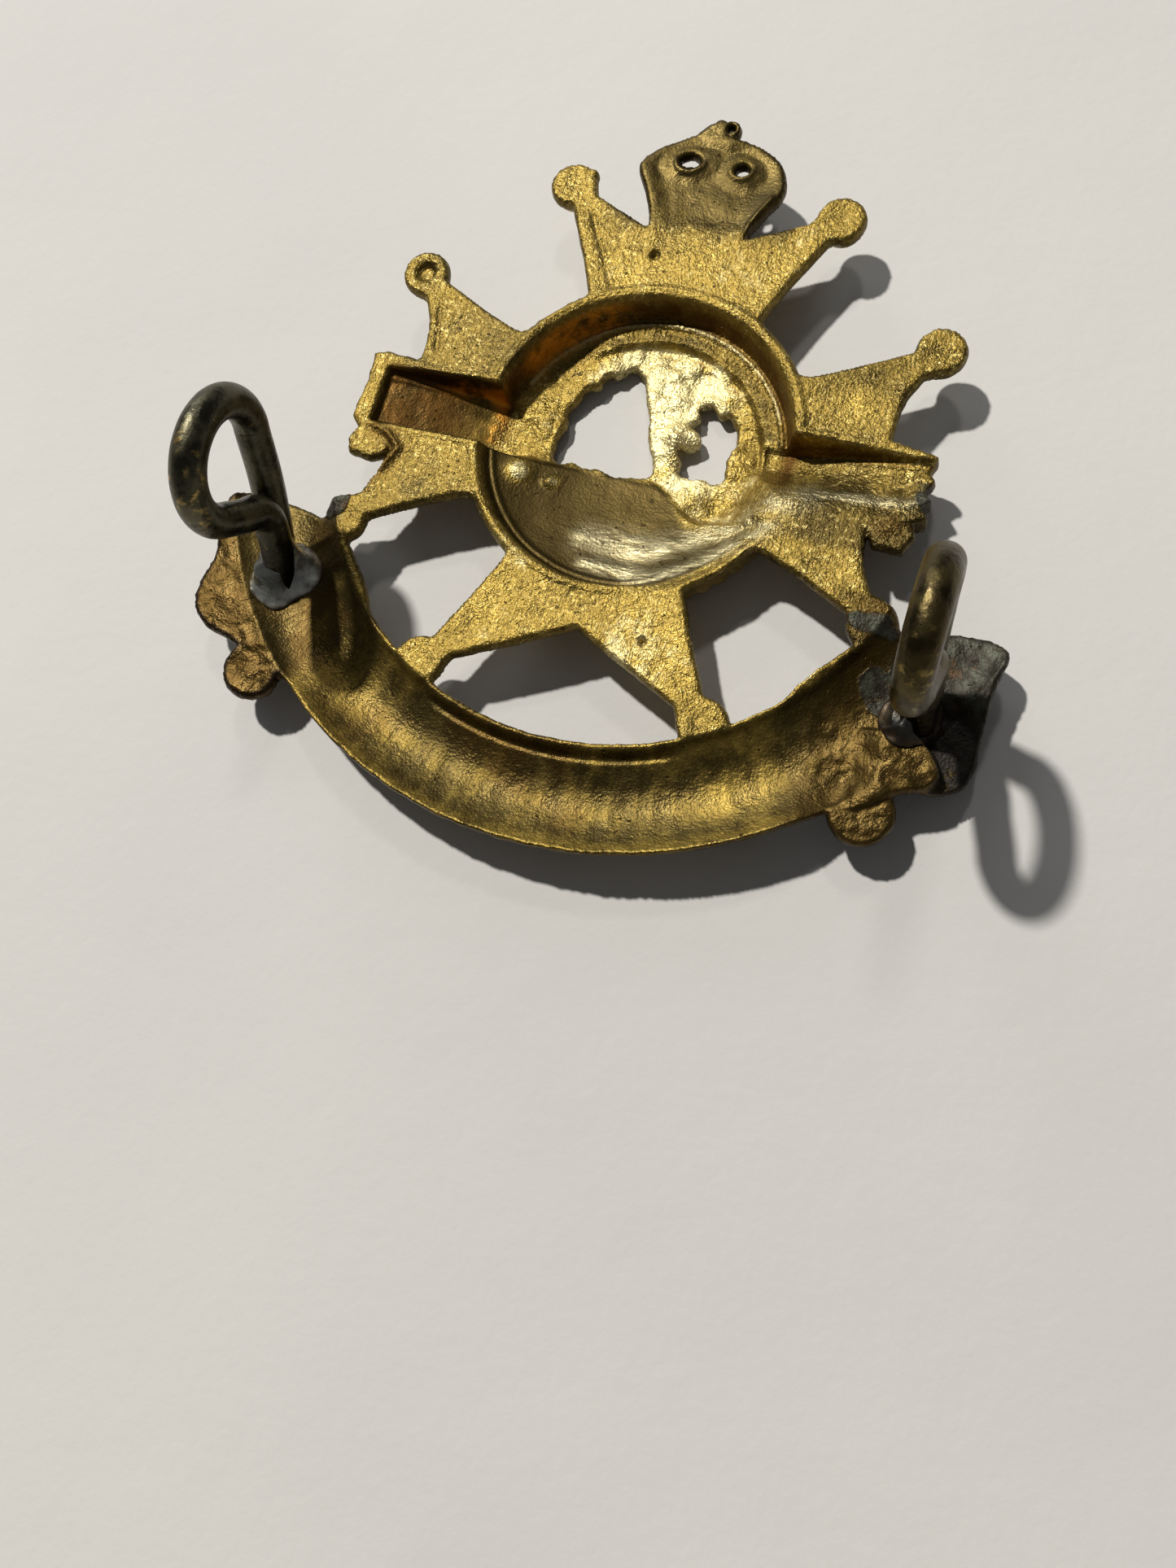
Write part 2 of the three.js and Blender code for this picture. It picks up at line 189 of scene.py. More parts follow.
def catmull_rom(before, at, after, later, steps):
    """Points of the smooth curve from each point at to the point after it, without the very last."""
    t = np.linspace(0, 1, steps, endpoint=False)[:, None, None]
    made = 0.5 * (2 * at + (after - before) * t + (2 * before - 5 * at + 4 * after - later) * t**2
                  + (3 * at - before - 3 * after + later) * t**3)
    return made.transpose(1, 0, 2).reshape(-1, 2)


def curved(points, steps=5):
    """A closed smooth curve through points."""
    p = np.asarray(points, float)
    return catmull_rom(np.roll(p, 1, 0), p, np.roll(p, -1, 0), np.roll(p, -2, 0), steps)


def turned(x, y, angle):
    c, s = math.cos(angle), math.sin(angle)
    return x * c - y * s, x * s + y * c


def ball_centres():
    """The two tips of each arm, from the top arm round to the right, below and left."""
    angles = [arm * math.pi / 2 + side * TIP_ANGLE for arm in range(4) for side in (-1, 1)]
    return [(TIP_REACH * math.sin(a), TIP_REACH * math.cos(a)) for a in angles]


BALLS = ball_centres()
DIMPLED = BALLS[7]  # the upper tip of the left arm

# Half of the arm that points along +Y, from its root round the point to the notch.
PRONG = rows(
    (0, 7), (4.9, 7.6), (5.0, 8.2), (6.0, 10.5), (7.5, 13.5), (8.3, 14.9), (6.9, 15.3), (6.2, 14.35),
    (3.2, 12.95), (0, 11.35),
)
ARM = np.vstack([PRONG, PRONG[-2:0:-1] * (-1, 1)])


def arms(x, y):
    """The four arms. The side arms are filled out under the ribbon."""
    quarters = [polygon(*turned(x, y, quarter * math.pi / 2), ARM) for quarter in range(4)]
    filler = rows((8, 5), (13.55, 4.6), (13.5, -4.6), (8, -5))
    return soft_union(np.min(quarters, axis=0), polygon(np.abs(x), y, filler), 0.5)


def balls(x, y):
    """The ball tips. One of the top arm's has a small nub."""
    nub = circle(x, y, -7.0, 15.75, 0.34)
    return np.minimum(np.min([circle(x, y, cx, cy, BALL_R) for cx, cy in BALLS], axis=0), nub)


LEFT_RIBBON = rows(
    (-7, 2.35), (-13.5, 2.3), (-15.6, 2.5), (-16.3, 2.3), (-16.15, 0.6), (-16.35, -1.7),
    (-15.75, -2.35), (-16.15, -3.1), (-15.9, -3.85), (-14.6, -4.05), (-13.8, -3.7), (-13.4, -2.6),
    (-7, -2.5),
)
RIGHT_RIBBON = rows(
    (7, 2.35), (12.9, 2.35), (16.1, 1.75), (15.85, 1.0), (16.2, 0.5), (15.8, -0.1), (16.25, -0.7),
    (15.75, -1.2), (16.3, -1.75), (15.6, -2.1), (15.9, -2.9), (15.5, -3.8), (14.0, -3.7), (13.5, -2.8),
    (7, -2.5),
)


def ribbons(x, y):
    return np.minimum(polygon(x, y, LEFT_RIBBON), polygon(x, y, RIGHT_RIBBON)) - 0.04


CROWN = curved([
    (-2.75, 10), (2.75, 10), (2.75, 12.3), (2.95, 13.3), (3.7, 14.9), (4.15, 15.7), (4.25, 16.6),
    (3.7, 17.9), (2.4, 18.8), (0.9, 19.2), (-0.9, 19.2), (-2.4, 18.75), (-3.8, 17.75), (-4.35, 16.7),
    (-3.7, 15.4), (-3.0, 13.9), (-2.8, 12.6),
])
STUB = rows((-1.9, 18.7), (-0.95, 19.75), (-0.35, 20.2), (0.0, 20.05), (0.05, 19.0))
CROWN_HOLES = [(-1.5, 17.45, 0.62, 0.42), (1.6, 17.2, 0.42, 0.4)]  # x, y, half width, half height


def crown(x, y):
    """The crown. On top is the stub of a broken orb, and beside it a small loop."""
    stub = polygon(x, y, STUB) - 0.1
    loop = np.abs(np.hypot(x - 0.3, y - 19.75) - 0.38) - 0.14
    return np.minimum(soft_union(polygon(x, y, CROWN), stub, 0.4), loop)


# The folded flap at either end of the scroll, and the round tab under it.
RIGHT_FLAP = curved([
    (11.6, -13.2), (14.35, -9.3), (15.2, -8.4), (17.4, -7.55), (19.4, -7.15), (21.2, -7.3),
    (21.85, -7.95), (21.6, -9.4), (21.45, -12.0), (21.5, -13.7), (21.1, -14.9), (19.9, -15.6),
    (18.4, -16.0), (17.0, -16.9), (14.9, -17.7), (13.0, -17.8),
], 4)
LEFT_FLAP = curved([
    (-11.6, -13.2), (-14.2, -9.3), (-15.0, -8.6), (-17.0, -7.75), (-19.4, -7.25), (-21.4, -7.3),
    (-22.3, -8.0), (-22.25, -9.6), (-22.0, -11.4), (-22.3, -13.3), (-22.1, -14.6), (-21.2, -15.5),
    (-19.6, -16.0), (-18.4, -16.5), (-17.0, -17.1), (-14.9, -17.7), (-13.0, -17.8),
], 4)
TABS = [(16.65, -17.45, 1.65), (-17.45, -17.5, 1.65)]  # x, y, radius
# The end of the band lapped over the right flap, and a raised crust by the band's inner edge.
LAP = curved([
    (15.0, -13.6), (16.5, -13.1), (17.6, -12.95), (18.8, -13.35), (19.6, -14.1), (19.9, -15.0),
    (19.2, -15.8), (18.0, -16.2), (17.0, -17.0), (15.6, -17.6), (14.0, -17.0),
], 4)
CRUST = [(9.6, -14.2), (11.4, -12.6), (13.2, -10.6), (14.2, -9.6)]


def band_place(x, y):
    """Distances from the scroll's inner arc and from its outer arc, both positive inside the band."""
    return np.hypot(x, y - INNER_Y) - INNER_R, OUTER_R - np.hypot(x, y - OUTER_Y)


def across_band(from_inner, from_outer):
    """0 at the scroll's inner arc and 1 at its outer arc."""
    return np.clip(from_inner / np.maximum(from_inner + from_outer, 1e-6), 0, 1)


def scroll_share(x, y):
    """1 on the scroll and 0 elsewhere, with a soft step at its inner arc."""
    return smooth(-0.2, 0.3, band_place(x, y)[0]) * (y < SCROLL_Y)


def brushed(x, y):
    """Fine strokes across the band of the scroll."""
    from_inner, _ = band_place(x, y)
    return rough(30 * np.arctan2(x, 10 - y), 0.12 * from_inner, 0.42, 73)


def tabs(x, y):
    return np.min([circle(x, y, *tab) for tab in TABS], axis=0)


def scroll(x, y):
    """The band with its flaps and tabs."""
    from_inner, from_outer = band_place(x, y)
    wedge = y + 0.98 * np.abs(x) + 0.5  # negative under the star, where the band is
    band = np.maximum(np.maximum(-from_inner, -from_outer), wedge * 0.7)
    flap = np.minimum(polygon(x, y, RIGHT_FLAP), polygon(x, y, LEFT_FLAP))
    return soft_union(soft_union(band, flap, 0.3), tabs(x, y), 0.3)


# The two voids pierced through the floor of the centre.
LEFT_VOID = curved([
    (-4.9, -1.1), (-4.3, -1.35), (-3.7, -1.05), (-3.1, -1.3), (-2.3, -1.2), (-1.3, -1.5), (-0.2, -1.3),
    (0.85, -1.1), (0.75, 0.0), (0.25, 1.1), (-0.05, 2.3), (-0.5, 3.3), (-0.75, 4.3), (-1.3, 5.0),
    (-2.0, 5.25), (-2.55, 4.6), (-3.2, 4.5), (-3.5, 3.8), (-4.2, 3.5), (-4.5, 2.7), (-4.9, 2.0),
    (-4.75, 1.0), (-5.05, 0.2),
], 4)
RIGHT_VOID = curved([
    (3.2, -0.85), (3.9, -0.65), (4.6, -0.95), (5.05, -0.4), (4.85, 0.6), (5.15, 1.5), (4.95, 2.5),
    (4.4, 3.3), (3.8, 3.15), (3.2, 3.75), (2.55, 3.5), (2.7, 2.8), (2.3, 2.3), (2.9, 1.9), (3.1, 1.3),
    (2.6, 0.8), (2.0, 0.75), (2.35, 0.1), (2.3, -0.5),
], 4)


def voids(x, y):
    """The two voids in the centre and the two holes in the crown."""
    holes = [away(x, y, cx, cy, 1 / a, 1 / b) * min(a, b) - min(a, b) for cx, cy, a, b in CROWN_HOLES]
    return np.min([polygon(x, y, LEFT_VOID), polygon(x, y, RIGHT_VOID), *holes], axis=0)


def outline(x, y):
    """Signed distance to the edge of the metal, with the raggedness that die cutting leaves."""
    centre = circle(x, y, 0, 0, CENTRE_R)
    star = soft_union(soft_union(arms(x, y), balls(x, y), 0.35), centre, 0.35)
    star = soft_union(star, crown(x, y), 0.3)
    whole = soft_union(soft_union(star, ribbons(x, y), 0.2), scroll(x, y), 0.45)
    ragged = 0.02 + 0.045 * smooth(2, -8, y) + 0.03 * smooth(6.5, 5.5, np.hypot(x, y))
    whole = whole + ragged * rough(x, y, 0.8, 11)
    return np.maximum(whole, -(voids(x, y) + 0.1 * rough(x, y, 0.7, 23)))


# ---- The back surface ----


def under_voids(x):
    """Where the hammered floor of the centre ends and the smooth bowl begins, as Y."""
    return -1.5 - 1.9 * smooth(1.0, 4.4, x)


def centre_depth(x, y):
    """The hollow behind the centre: a steep wall, a ledge and a hammered floor above, and a bowl below."""
    r = np.hypot(x, y)
    angle = np.degrees(np.arctan2(x, y))
    on_ledge = smooth(-44, -26, angle) * smooth(96, 74, angle)
    drop = on_ledge * smooth(LEDGE_R, LEDGE_R - 0.4, r) + (1 - on_ledge) * smooth(8.1, 7.3, r)
    above = -WALL_DROP * smooth(LIP_R + 0.05, WALL_FOOT_R - 0.05, r) - FLOOR_DROP * drop
    # A rough bead at the wall's foot, and ripples across the ledge.
    foot_bead = (0.2 + 0.1 * rough(x, y, 0.5, 33)) * bell(r - 7.95, 0.15)
    ledge = on_ledge * smooth(LEDGE_R - 0.3, LEDGE_R, r) * smooth(8.1, 7.8, r)
    above = above + on_ledge * foot_bead + 0.03 * ledge * np.sin(2.6 * angle)
    # To the right the wall runs out into the flank of the ribbon.
    flank = smooth(84, 96, angle) * smooth(150, 128, angle)
    above = above * (1 - flank) - (WALL_DROP + FLOOR_DROP) * flank * smooth(9.3, 5.4, r)
    steep = smooth(LIP_R + 0.15, 8.35, r)
    dish = (BOWL_DEPTH - 1.1) * (1 - np.clip(r / 8.3, 0, 1) ** 2.3)
    bowl = 0.1 * bell(r - 8.2, 0.12) - steep * (1.1 + dish)
    open_side = smooth(100, 118, angle) * smooth(172, 150, angle)
    bowl = bowl * (1 - open_side) - BOWL_DEPTH * open_side * (1 - np.clip(r / 9.35, 0, 1) ** 2.6)
    return above + (bowl - above) * smooth(0.25, -0.35, y - under_voids(x))


def channel_depth(x, y):
    """The hollow behind the ribbon, deep at the centre and shallow at the ends."""
    ax = np.abs(x)
    along = np.clip((ax - 8.0) / 7.4, 0, 1)
    floor = -CHANNEL_SHALLOW - CHANNEL_FALL * (1 - along) ** 1.1
    foot = 1.5 - 0.25 * along  # y of the foot of the upper wall
    top = smooth(foot + 0.35, foot, y)
    left_side = smooth(-1.95, -1.6, y)
    right_side = smooth(-2.5, 0.9, y)
    across = top * np.where(x < 0, left_side, right_side)
    ends = np.where(x < 0, smooth(15.35, 15.05, ax), smooth(16.6, 15.6, ax))
    lip = 0.1 * bell(y - foot + 0.12, 0.13) * smooth(8.6, 9.4, ax)
    return (floor * across + lip) * ends * smooth(5.5, 7.2, ax)


def to_pocket(x, y):
    """Distance from the middle of the dark pocket in the right flap."""
    return away(x, y, 19.9, -13.3, 0.9)


def scroll_depth(x, y):
    """The trough behind the scroll, and the folded flaps at its ends."""
    from_inner, from_outer = band_place(x, y)
    ax = np.abs(x)
    share = across_band(from_inner, from_outer)
    trough = -TROUGH_DEPTH * np.sin(math.pi * share) ** 0.8
    # Below the star a step follows the inner edge.
    middle = smooth(7.6, 5.8, ax)
    trough = trough + middle * (0.16 * bell(from_inner - 0.3, 0.16) - 0.2 * bell(from_inner - 0.72, 0.13))
    end = smooth(13.0, 15.5, ax)
    pocket = smooth(2.9, 1.6, to_pocket(x, y))
    raised = smooth(17.0, 18.6, x) * smooth(-11.4, -10.4, y)
    left_flap = -0.4 - 0.2 * smooth(0.2, -2.6, from_outer)
    flap = np.where(x < 0, left_flap, -0.75 - 0.8 * pocket + 0.2 * raised)
    inner_part = trough + end * flap * smooth(0.55, 1.0, share)
    z = np.where(from_outer > 0, inner_part, end * flap)
    lapped = smooth(0.14, -0.1, polygon(x, y, LAP)) * smooth(15.2, 17.2, x)
    z = z * (1 - lapped) + lapped * (-0.42 + 0.14 * rough(x, y, 0.75, 59))
    return z * smooth(-0.1, 0.5, from_inner)


# The folded edge on the left arm.
FOLDS = [(-14.75, -2.3), (-13.9, -2.5), (-12.95, -3.3), (-13.6, -4.6), (-14.7, -5.9)]


def floor_share(x, r, in_bowl):
    """1 on the hammered floor of the centre, which reaches further out at the left."""
    return smooth(LEDGE_R + 0.1 + 1.1 * smooth(-3, -5, x), LEDGE_R - 0.3, r) * (1 - in_bowl)


def rolled_edge(inside, radius):
    """How far an edge is rolled over at a distance inside it."""
    left = np.clip(radius - inside, 0, radius)
    return (radius - np.sqrt(radius**2 - left**2)) * 0.9


def struck(x, y, inside, on_scroll):
    """The back as the die leaves it: dished flats, three kinds of hollow and a bead round the centre."""
    r, ax = np.hypot(x, y), np.abs(x)
    in_channel = smooth(7.2, 8.0, ax) * smooth(2.3, 2.1, np.abs(y + 0.1)) * (ax < 16.6)
    z = np.minimum(centre_depth(x, y), channel_depth(x, y))
    z = np.where(y < SCROLL_Y, np.minimum(z, scroll_depth(x, y) * on_scroll), z)
    flat = (1 - smooth(LIP_R + 0.3, LIP_R - 0.2, r)) * (1 - in_channel) * (1 - on_scroll)
    z = z - 0.06 * flat * smooth(0.2, 1.3, inside)
    bead = (1 - smooth(0, 3, x) * smooth(0, -3, y)) * (1 - in_channel)
    return z + 0.1 * bell(r - 9.1, 0.2) * bead * smooth(0.05, 0.3, inside)


def arm_marks(x, y):
    """A dimpled ball, two pits, thin strips along the left sides of two arms, and the folded edge."""
    dimple = 0.34 * smooth(0.75, 0.35, away(x, y, *DIMPLED))
    pits = smooth(0.34, 0.15, away(x, y, -1.9, 11.1)) + smooth(0.28, 0.12, away(x, y, 3.7, -11.4))
    left_strip = to_line(x, y, (-13.35, 5.7), (-12.75, 3.0))
    top_strip = to_line(x, y, (-6.15, 13.0), (-3.8, 8.75))
    strips = bell(np.minimum(left_strip, top_strip), 0.13)
    fold = 0.22 * bell(to_line(x, y, *FOLDS), 0.2) - 0.12 * bell(to_line(x + 0.45, y, *FOLDS), 0.15)
    return fold - dimple - 0.35 * pits - 0.13 * strips


def crown_marks(x, y, inside, on_crown):
    """The crown is gently domed, with a bead along its lower right side and burrs under its holes."""
    z = on_crown * (0.12 * rough(x, y, 2.6, 29) - 0.1 * smooth(0.3, 1.2, inside))
    z = z + 0.16 * bell(to_line(x, y, (3.75, 15.5), (2.95, 13.8), (2.8, 12.9)), 0.17)
    for cx, cy, a, _ in CROWN_HOLES:
        z = z + 0.14 * bell(away(x, y, cx, cy) - a - 0.22, 0.16) * smooth(cy + 0.3, cy - 0.3, y)
    return z


def centre_marks(x, y, in_bowl):
    """The hammered floor with its lumps, the smooth bowl with two leaves of metal and crumbs, and a burr."""
    floor = floor_share(x, np.hypot(x, y), in_bowl)
    z = floor * (0.26 * rough(x, y, 1.6, 31) + 0.10 * rough(x, y, 0.7, 37))
    z = z + 0.07 * in_bowl * rough(x, y, 2.8, 35)
    z = z + 0.34 * bell(away(x, y, 1.7, 1.2, 1, 0.8), 0.7) + 0.2 * bell(away(x, y, -0.2, 5.4, 1.2), 0.8)
    z = z + 0.25 * bell(away(x, y, -6.2, -2.6, 0.7), 0.4) + 0.2 * bell(away(x, y, -4.5, -2.75), 0.3)
    crumbs = smooth(1.5, 0.7, away(x, y, 6.6, -2.9, 0.8))
    z = z + 0.16 * crumbs * rough(x, y, 0.55, 67)
    return z + 0.12 * bell(to_line(x, y, (-5.05, 1.0), (-5.15, -0.4), (-4.95, -1.3)), 0.14)


def end_marks(x, y):
    """Roughness at the right ribbon's end, by the lap, on the tabs and left flap, and above the left lug."""
    ribbon_end = smooth(12.5, 14.5, x) * smooth(2.4, 1.6, np.abs(y + 1))
    by_lap = smooth(2.2, 1.0, away(x, y, 14.6, -14.6, 0.8))
    on_tabs = smooth(0.2, -0.3, tabs(x, y))
    left_flap = smooth(0.3, -0.4, band_place(x, y)[1]) * (x < -15) * (y < -7)
    corner = smooth(1.7, 0.9, away(x, y, -14.6, -8.0))
    z = 0.2 * ribbon_end * rough(x, y, 0.8, 47)
    z = z + 0.13 * np.maximum(by_lap, 0.9 * on_tabs) * rough(x, y, 0.7, 53)
    return z + 0.12 * left_flap * rough(x, y, 1.0, 57) + 0.12 * corner * rough(x, y, 0.7, 63)


def back(x, y, inside):
    """Height of the back, given the distance inside the outline."""
    on_scroll = scroll_share(x, y)
    on_crown = smooth(12.9, 13.8, y) * smooth(4.9, 4.4, np.abs(x))
    in_bowl = smooth(0.2, -0.3, y - under_voids(x)) * (np.hypot(x, y) < LIP_R)
    z = struck(x, y, inside, on_scroll) + arm_marks(x, y) + crown_marks(x, y, inside, on_crown)
    z = z + centre_marks(x, y, in_bowl) + end_marks(x, y)
    grain = 1 - 0.8 * in_bowl - 0.4 * on_crown - 0.35 * on_scroll
    z = z + grain * (0.04 * rough(x, y, 0.75, 41) + 0.05 * rough(x, y, 3.2, 43))
    z = z + bell(to_line(x, y, *CRUST), 0.24) * (0.22 + 0.2 * rough(x, y, 0.6, 71))
    z = z + 0.03 * on_scroll * brushed(x, y)
    return z - rolled_edge(inside, EDGE_ROLL)


# ---- The front surface ----


def moulded(z, share, height):
    """Brings the front out to a height over its share of the surface, and never in."""
    return np.minimum(z, share * height + (1 - share) * z)


def front_centre(x, y, r, angle):
    """A round moulding with a wreath of leaves on it, a row of beads outside, and a ribbed disc within."""
    bulge = np.sqrt(np.maximum(1 - ((r - CREST_R) / 2.15) ** 2, 0))
    side = np.where(angle > 0, 1.0, -1.0)
    leaf = np.abs(np.sin(10 * angle + side * (r - CREST_R) * 1.6))
    wreath = 0.28 * (1 - leaf**0.6) * smooth(1.7, 1.2, np.abs(r - CREST_R))
    ring = np.where(r < CENTRE_R, -SHEET - (-CREST - SHEET) * bulge**0.9 + wreath, 0)
    per_radian = 26.1 / math.pi  # beads; the row meets itself a little out of step at the bottom
    along = ((angle * per_radian) % 1 - 0.5) * 9 / per_radian
    beads = np.hypot(r - 8.95, along)
    ring = ring - np.where(r > 8.5, 0.35 * np.sqrt(np.maximum(1 - (beads / 0.42) ** 2, 0)), 0)
    ribs = 0.12 * np.abs(np.sin(3.3 * (x + 0.3 * y)))
    return np.minimum(ring, smooth(5.6, 5.2, r) * (-2.95 - 0.12 * rough(x, y, 1.1, 61) + ribs))


def front(x, y, inside, behind):
    """Height of the front, which is struck with a plain pattern. More negative is further out."""
    r, ax = np.hypot(x, y), np.abs(x)
    angle = np.arctan2(x, y)
    rays = np.cos(40 * angle) * smooth(9.6, 10.2, r) * smooth(0.4, 0.9, inside) * smooth(16, 15, r)
    z = -SHEET - 0.3 * smooth(0.15, 0.9, inside) + 0.06 * rays
    for ball in BALLS:
        d = away(x, y, *ball)
        z = np.minimum(z, np.where(d < BALL_R, -0.45 - np.sqrt(np.maximum(BALL_R**2 - d**2, 0)), 0))
    z = np.minimum(z, front_centre(x, y, r, angle))
    # The ribbon: a rounded band with a raised line along either side.
    along = np.clip((ax - 8.2) / 7.6, 0, 1)
    band = -SHEET - 0.75 - 1.6 * (1 - along) ** 1.1 - 0.18 * bell(np.abs(y) - 1.75, 0.16)
    z = moulded(z, smooth(2.35, 2.1, np.abs(y)) * (ax > 7.2) * (ax < 16.4), band)
    # The crown: a raised line across its foot, and arches that meet at the top.
    base = 13.6
    arch = np.abs(away(x, y, 0, base, 1, 0.72) - 3.1) * (y > base)
    rib = bell(arch, 0.35) + bell(x, 0.4) * (y > base) + bell(y - 12.9, 0.4)
    in_crown = smooth(4.6, 4.2, ax) * smooth(11.6, 12.2, y)
    z = z - 0.4 * in_crown * rib * smooth(0.1, 0.5, inside)
    # The scroll: rounded, blank, with a raised border.
    from_inner, from_outer = band_place(x, y)
    swell = -SHEET - 1.1 * np.sin(math.pi * across_band(from_inner, from_outer)) ** 0.7
    border = 0.15 * (bell(from_inner - 0.55, 0.16) + bell(from_outer - 0.55, 0.16))
    share = (y < SCROLL_Y) * smooth(-0.1, 0.3, from_inner) * smooth(-0.1, 0.3, from_outer)
    z = moulded(z, share, swell - border) + rolled_edge(inside, FRONT_ROLL)
    return np.clip(np.minimum(z, behind - THINNEST), CREST, None)


# ---- Meshing ----


def mesh_object(name, points, faces):
    """A smooth-shaded piece from points in millimetres."""
    mesh = bpy.data.meshes.new(name)
    mesh.from_pydata(in_frame(points).tolist(), [], faces)
    mesh.validate()
    mesh.polygons.foreach_set("use_smooth", [True] * len(mesh.polygons))
    made = bpy.data.objects.new(name, mesh)
    bpy.context.scene.collection.objects.link(made)
    return made


def paint(piece, name, values):
    """A value at each vertex, which the materials read by name."""
    attribute = piece.data.attributes.new(name, "FLOAT", "POINT")
    attribute.data.foreach_set("value", np.asarray(values, np.float32))


def plate_grid():
    """Points inside the outline, moved onto it where they are near it, and the cells between them."""
    xs = np.arange(-22.9, 22.9 + STEP, STEP)
    ys = np.arange(-23.7, 20.9 + STEP, STEP)
    gx, gy = np.meshgrid(xs, ys, indexing="ij")
    distance = outline(gx, gy)
    slope_x, slope_y = np.gradient(distance, STEP)
    steep = np.maximum(slope_x**2 + slope_y**2, 0.25)
    kept = distance < 0.5 * STEP
    near = kept & (distance > -0.5 * STEP)
    gx = np.where(near, gx - distance * slope_x / steep, gx)
    gy = np.where(near, gy - distance * slope_y / steep, gy)
    number = np.full(gx.shape, -1)
    number[kept] = np.arange(kept.sum())
    cells = np.stack([number[:-1, :-1], number[1:, :-1], number[1:, 1:], number[:-1, 1:]], -1).reshape(-1, 4)
    count = (cells >= 0).sum(1)
    threes = cells[count == 3]
    tris = threes[threes >= 0].reshape(-1, 3)
    return gx[kept], gy[kept], -np.minimum(distance[kept], 0), cells[count == 4], tris


def edges_of(*face_sets):
    """Each face's edges, as pairs of vertex numbers in the face's own direction."""
    return np.vstack([np.stack([faces, np.roll(faces, -1, 1)], -1).reshape(-1, 2) for faces in face_sets])


def largest_part(count, edges):
    """Which vertices belong to the largest connected part."""
    label = np.arange(count)
    while True:
        low = np.minimum(label[edges[:, 0]], label[edges[:, 1]])
        new = label.copy()
        np.minimum.at(new, edges[:, 0], low)
        np.minimum.at(new, edges[:, 1], low)
        new = new[new]
        if (new == label).all():
            break
        label = new
    values, counts = np.unique(label[np.unique(edges)], return_counts=True)
    return label == values[counts.argmax()]


def sheet():
    """The largest part of the grid: x, y and distance inside at each point, then quads and triangles."""
    x, y, inside, quads, tris = plate_grid()
    member = largest_part(len(x), edges_of(quads, tris))
    quads, tris = quads[member[quads[:, 0]]], tris[member[tris[:, 0]]]
    used = np.unique(np.concatenate([quads.ravel(), tris.ravel()]))
    return x[used], y[used], inside[used], np.searchsorted(used, quads), np.searchsorted(used, tris)


def rim_of(edges, count):
    """The edges that only one face uses, which are the outline."""
    ends = np.sort(edges, 1).astype(np.int64)
    _, first, times = np.unique(ends[:, 0] * count + ends[:, 1], return_index=True, return_counts=True)
    return edges[first[times == 1]]


def cut_edge(x, y, top, bottom):
    """Rings of points between back and front. The cut edge bulges a little and is scarred."""
    h = 0.04
    out = np.stack([outline(x + h, y) - outline(x - h, y), outline(x, y + h) - outline(x, y - h)], 1)
    out /= np.maximum(np.hypot(*out.T), TINY)[:, None]
    rings = []
    for level in range(1, WALL_LEVELS + 1):
        t = level / (WALL_LEVELS + 1)
        scar = 0.03 * rough(x * 1.3 + level * 3.1, y * 1.3, 0.6, 71)
        xy = np.stack([x, y], 1) + out * (0.07 * math.sin(math.pi * t) + scar)[:, None]
        rings.append(np.column_stack([xy, top + (bottom - top) * t]))
    return rings


def plate():
    """The struck plate: a back and a front over the same points, joined by the cut edge."""
    x, y, inside, quads, tris = sheet()
    n = len(x)
    top = back(x, y, inside)
    bottom = front(x, y, inside, top)
    rim = rim_of(edges_of(quads, tris), n)
    ring = np.unique(rim)
    rings = cut_edge(x[ring], y[ring], top[ring], bottom[ring])
    points = np.vstack([np.column_stack([x, y, top]), np.column_stack([x, y, bottom]), *rings])
    faces = quads.tolist() + tris.tolist()
    faces += (quads[:, ::-1] + n).tolist() + (tris[:, ::-1] + n).tolist()
    in_ring = np.searchsorted(ring, rim) + 2 * n
    ladder = [rim] + [in_ring + level * len(ring) for level in range(WALL_LEVELS)] + [rim + n]
    for upper, lower in zip(ladder, ladder[1:]):
        faces += np.column_stack([upper[:, 1], upper[:, 0], lower[:, 0], lower[:, 1]]).tolist()
    piece = mesh_object("plate_shell", points, faces)
    rolled = (x < -15.5) & (y < -7) & (band_place(x, y)[1] < 0.6)  # the left flap's edge
    # Painted shade along the edges: a thin dark line round the back and the front, darkest on the left flap's
    # rolled edge, and the cut edge itself.
    back_edge_shade = np.where(rolled, 0.9 * smooth(0.42, 0.12, inside), 0.35 * smooth(0.14, 0.0, inside))
    front_edge_shade = 0.4 * smooth(0.3, 0.0, inside)
    paint(piece, "edge", np.concatenate([back_edge_shade, front_edge_shade, np.full(WALL_LEVELS * len(ring), 0.45)]))
    paint_plate(piece, *points.T)
    return piece


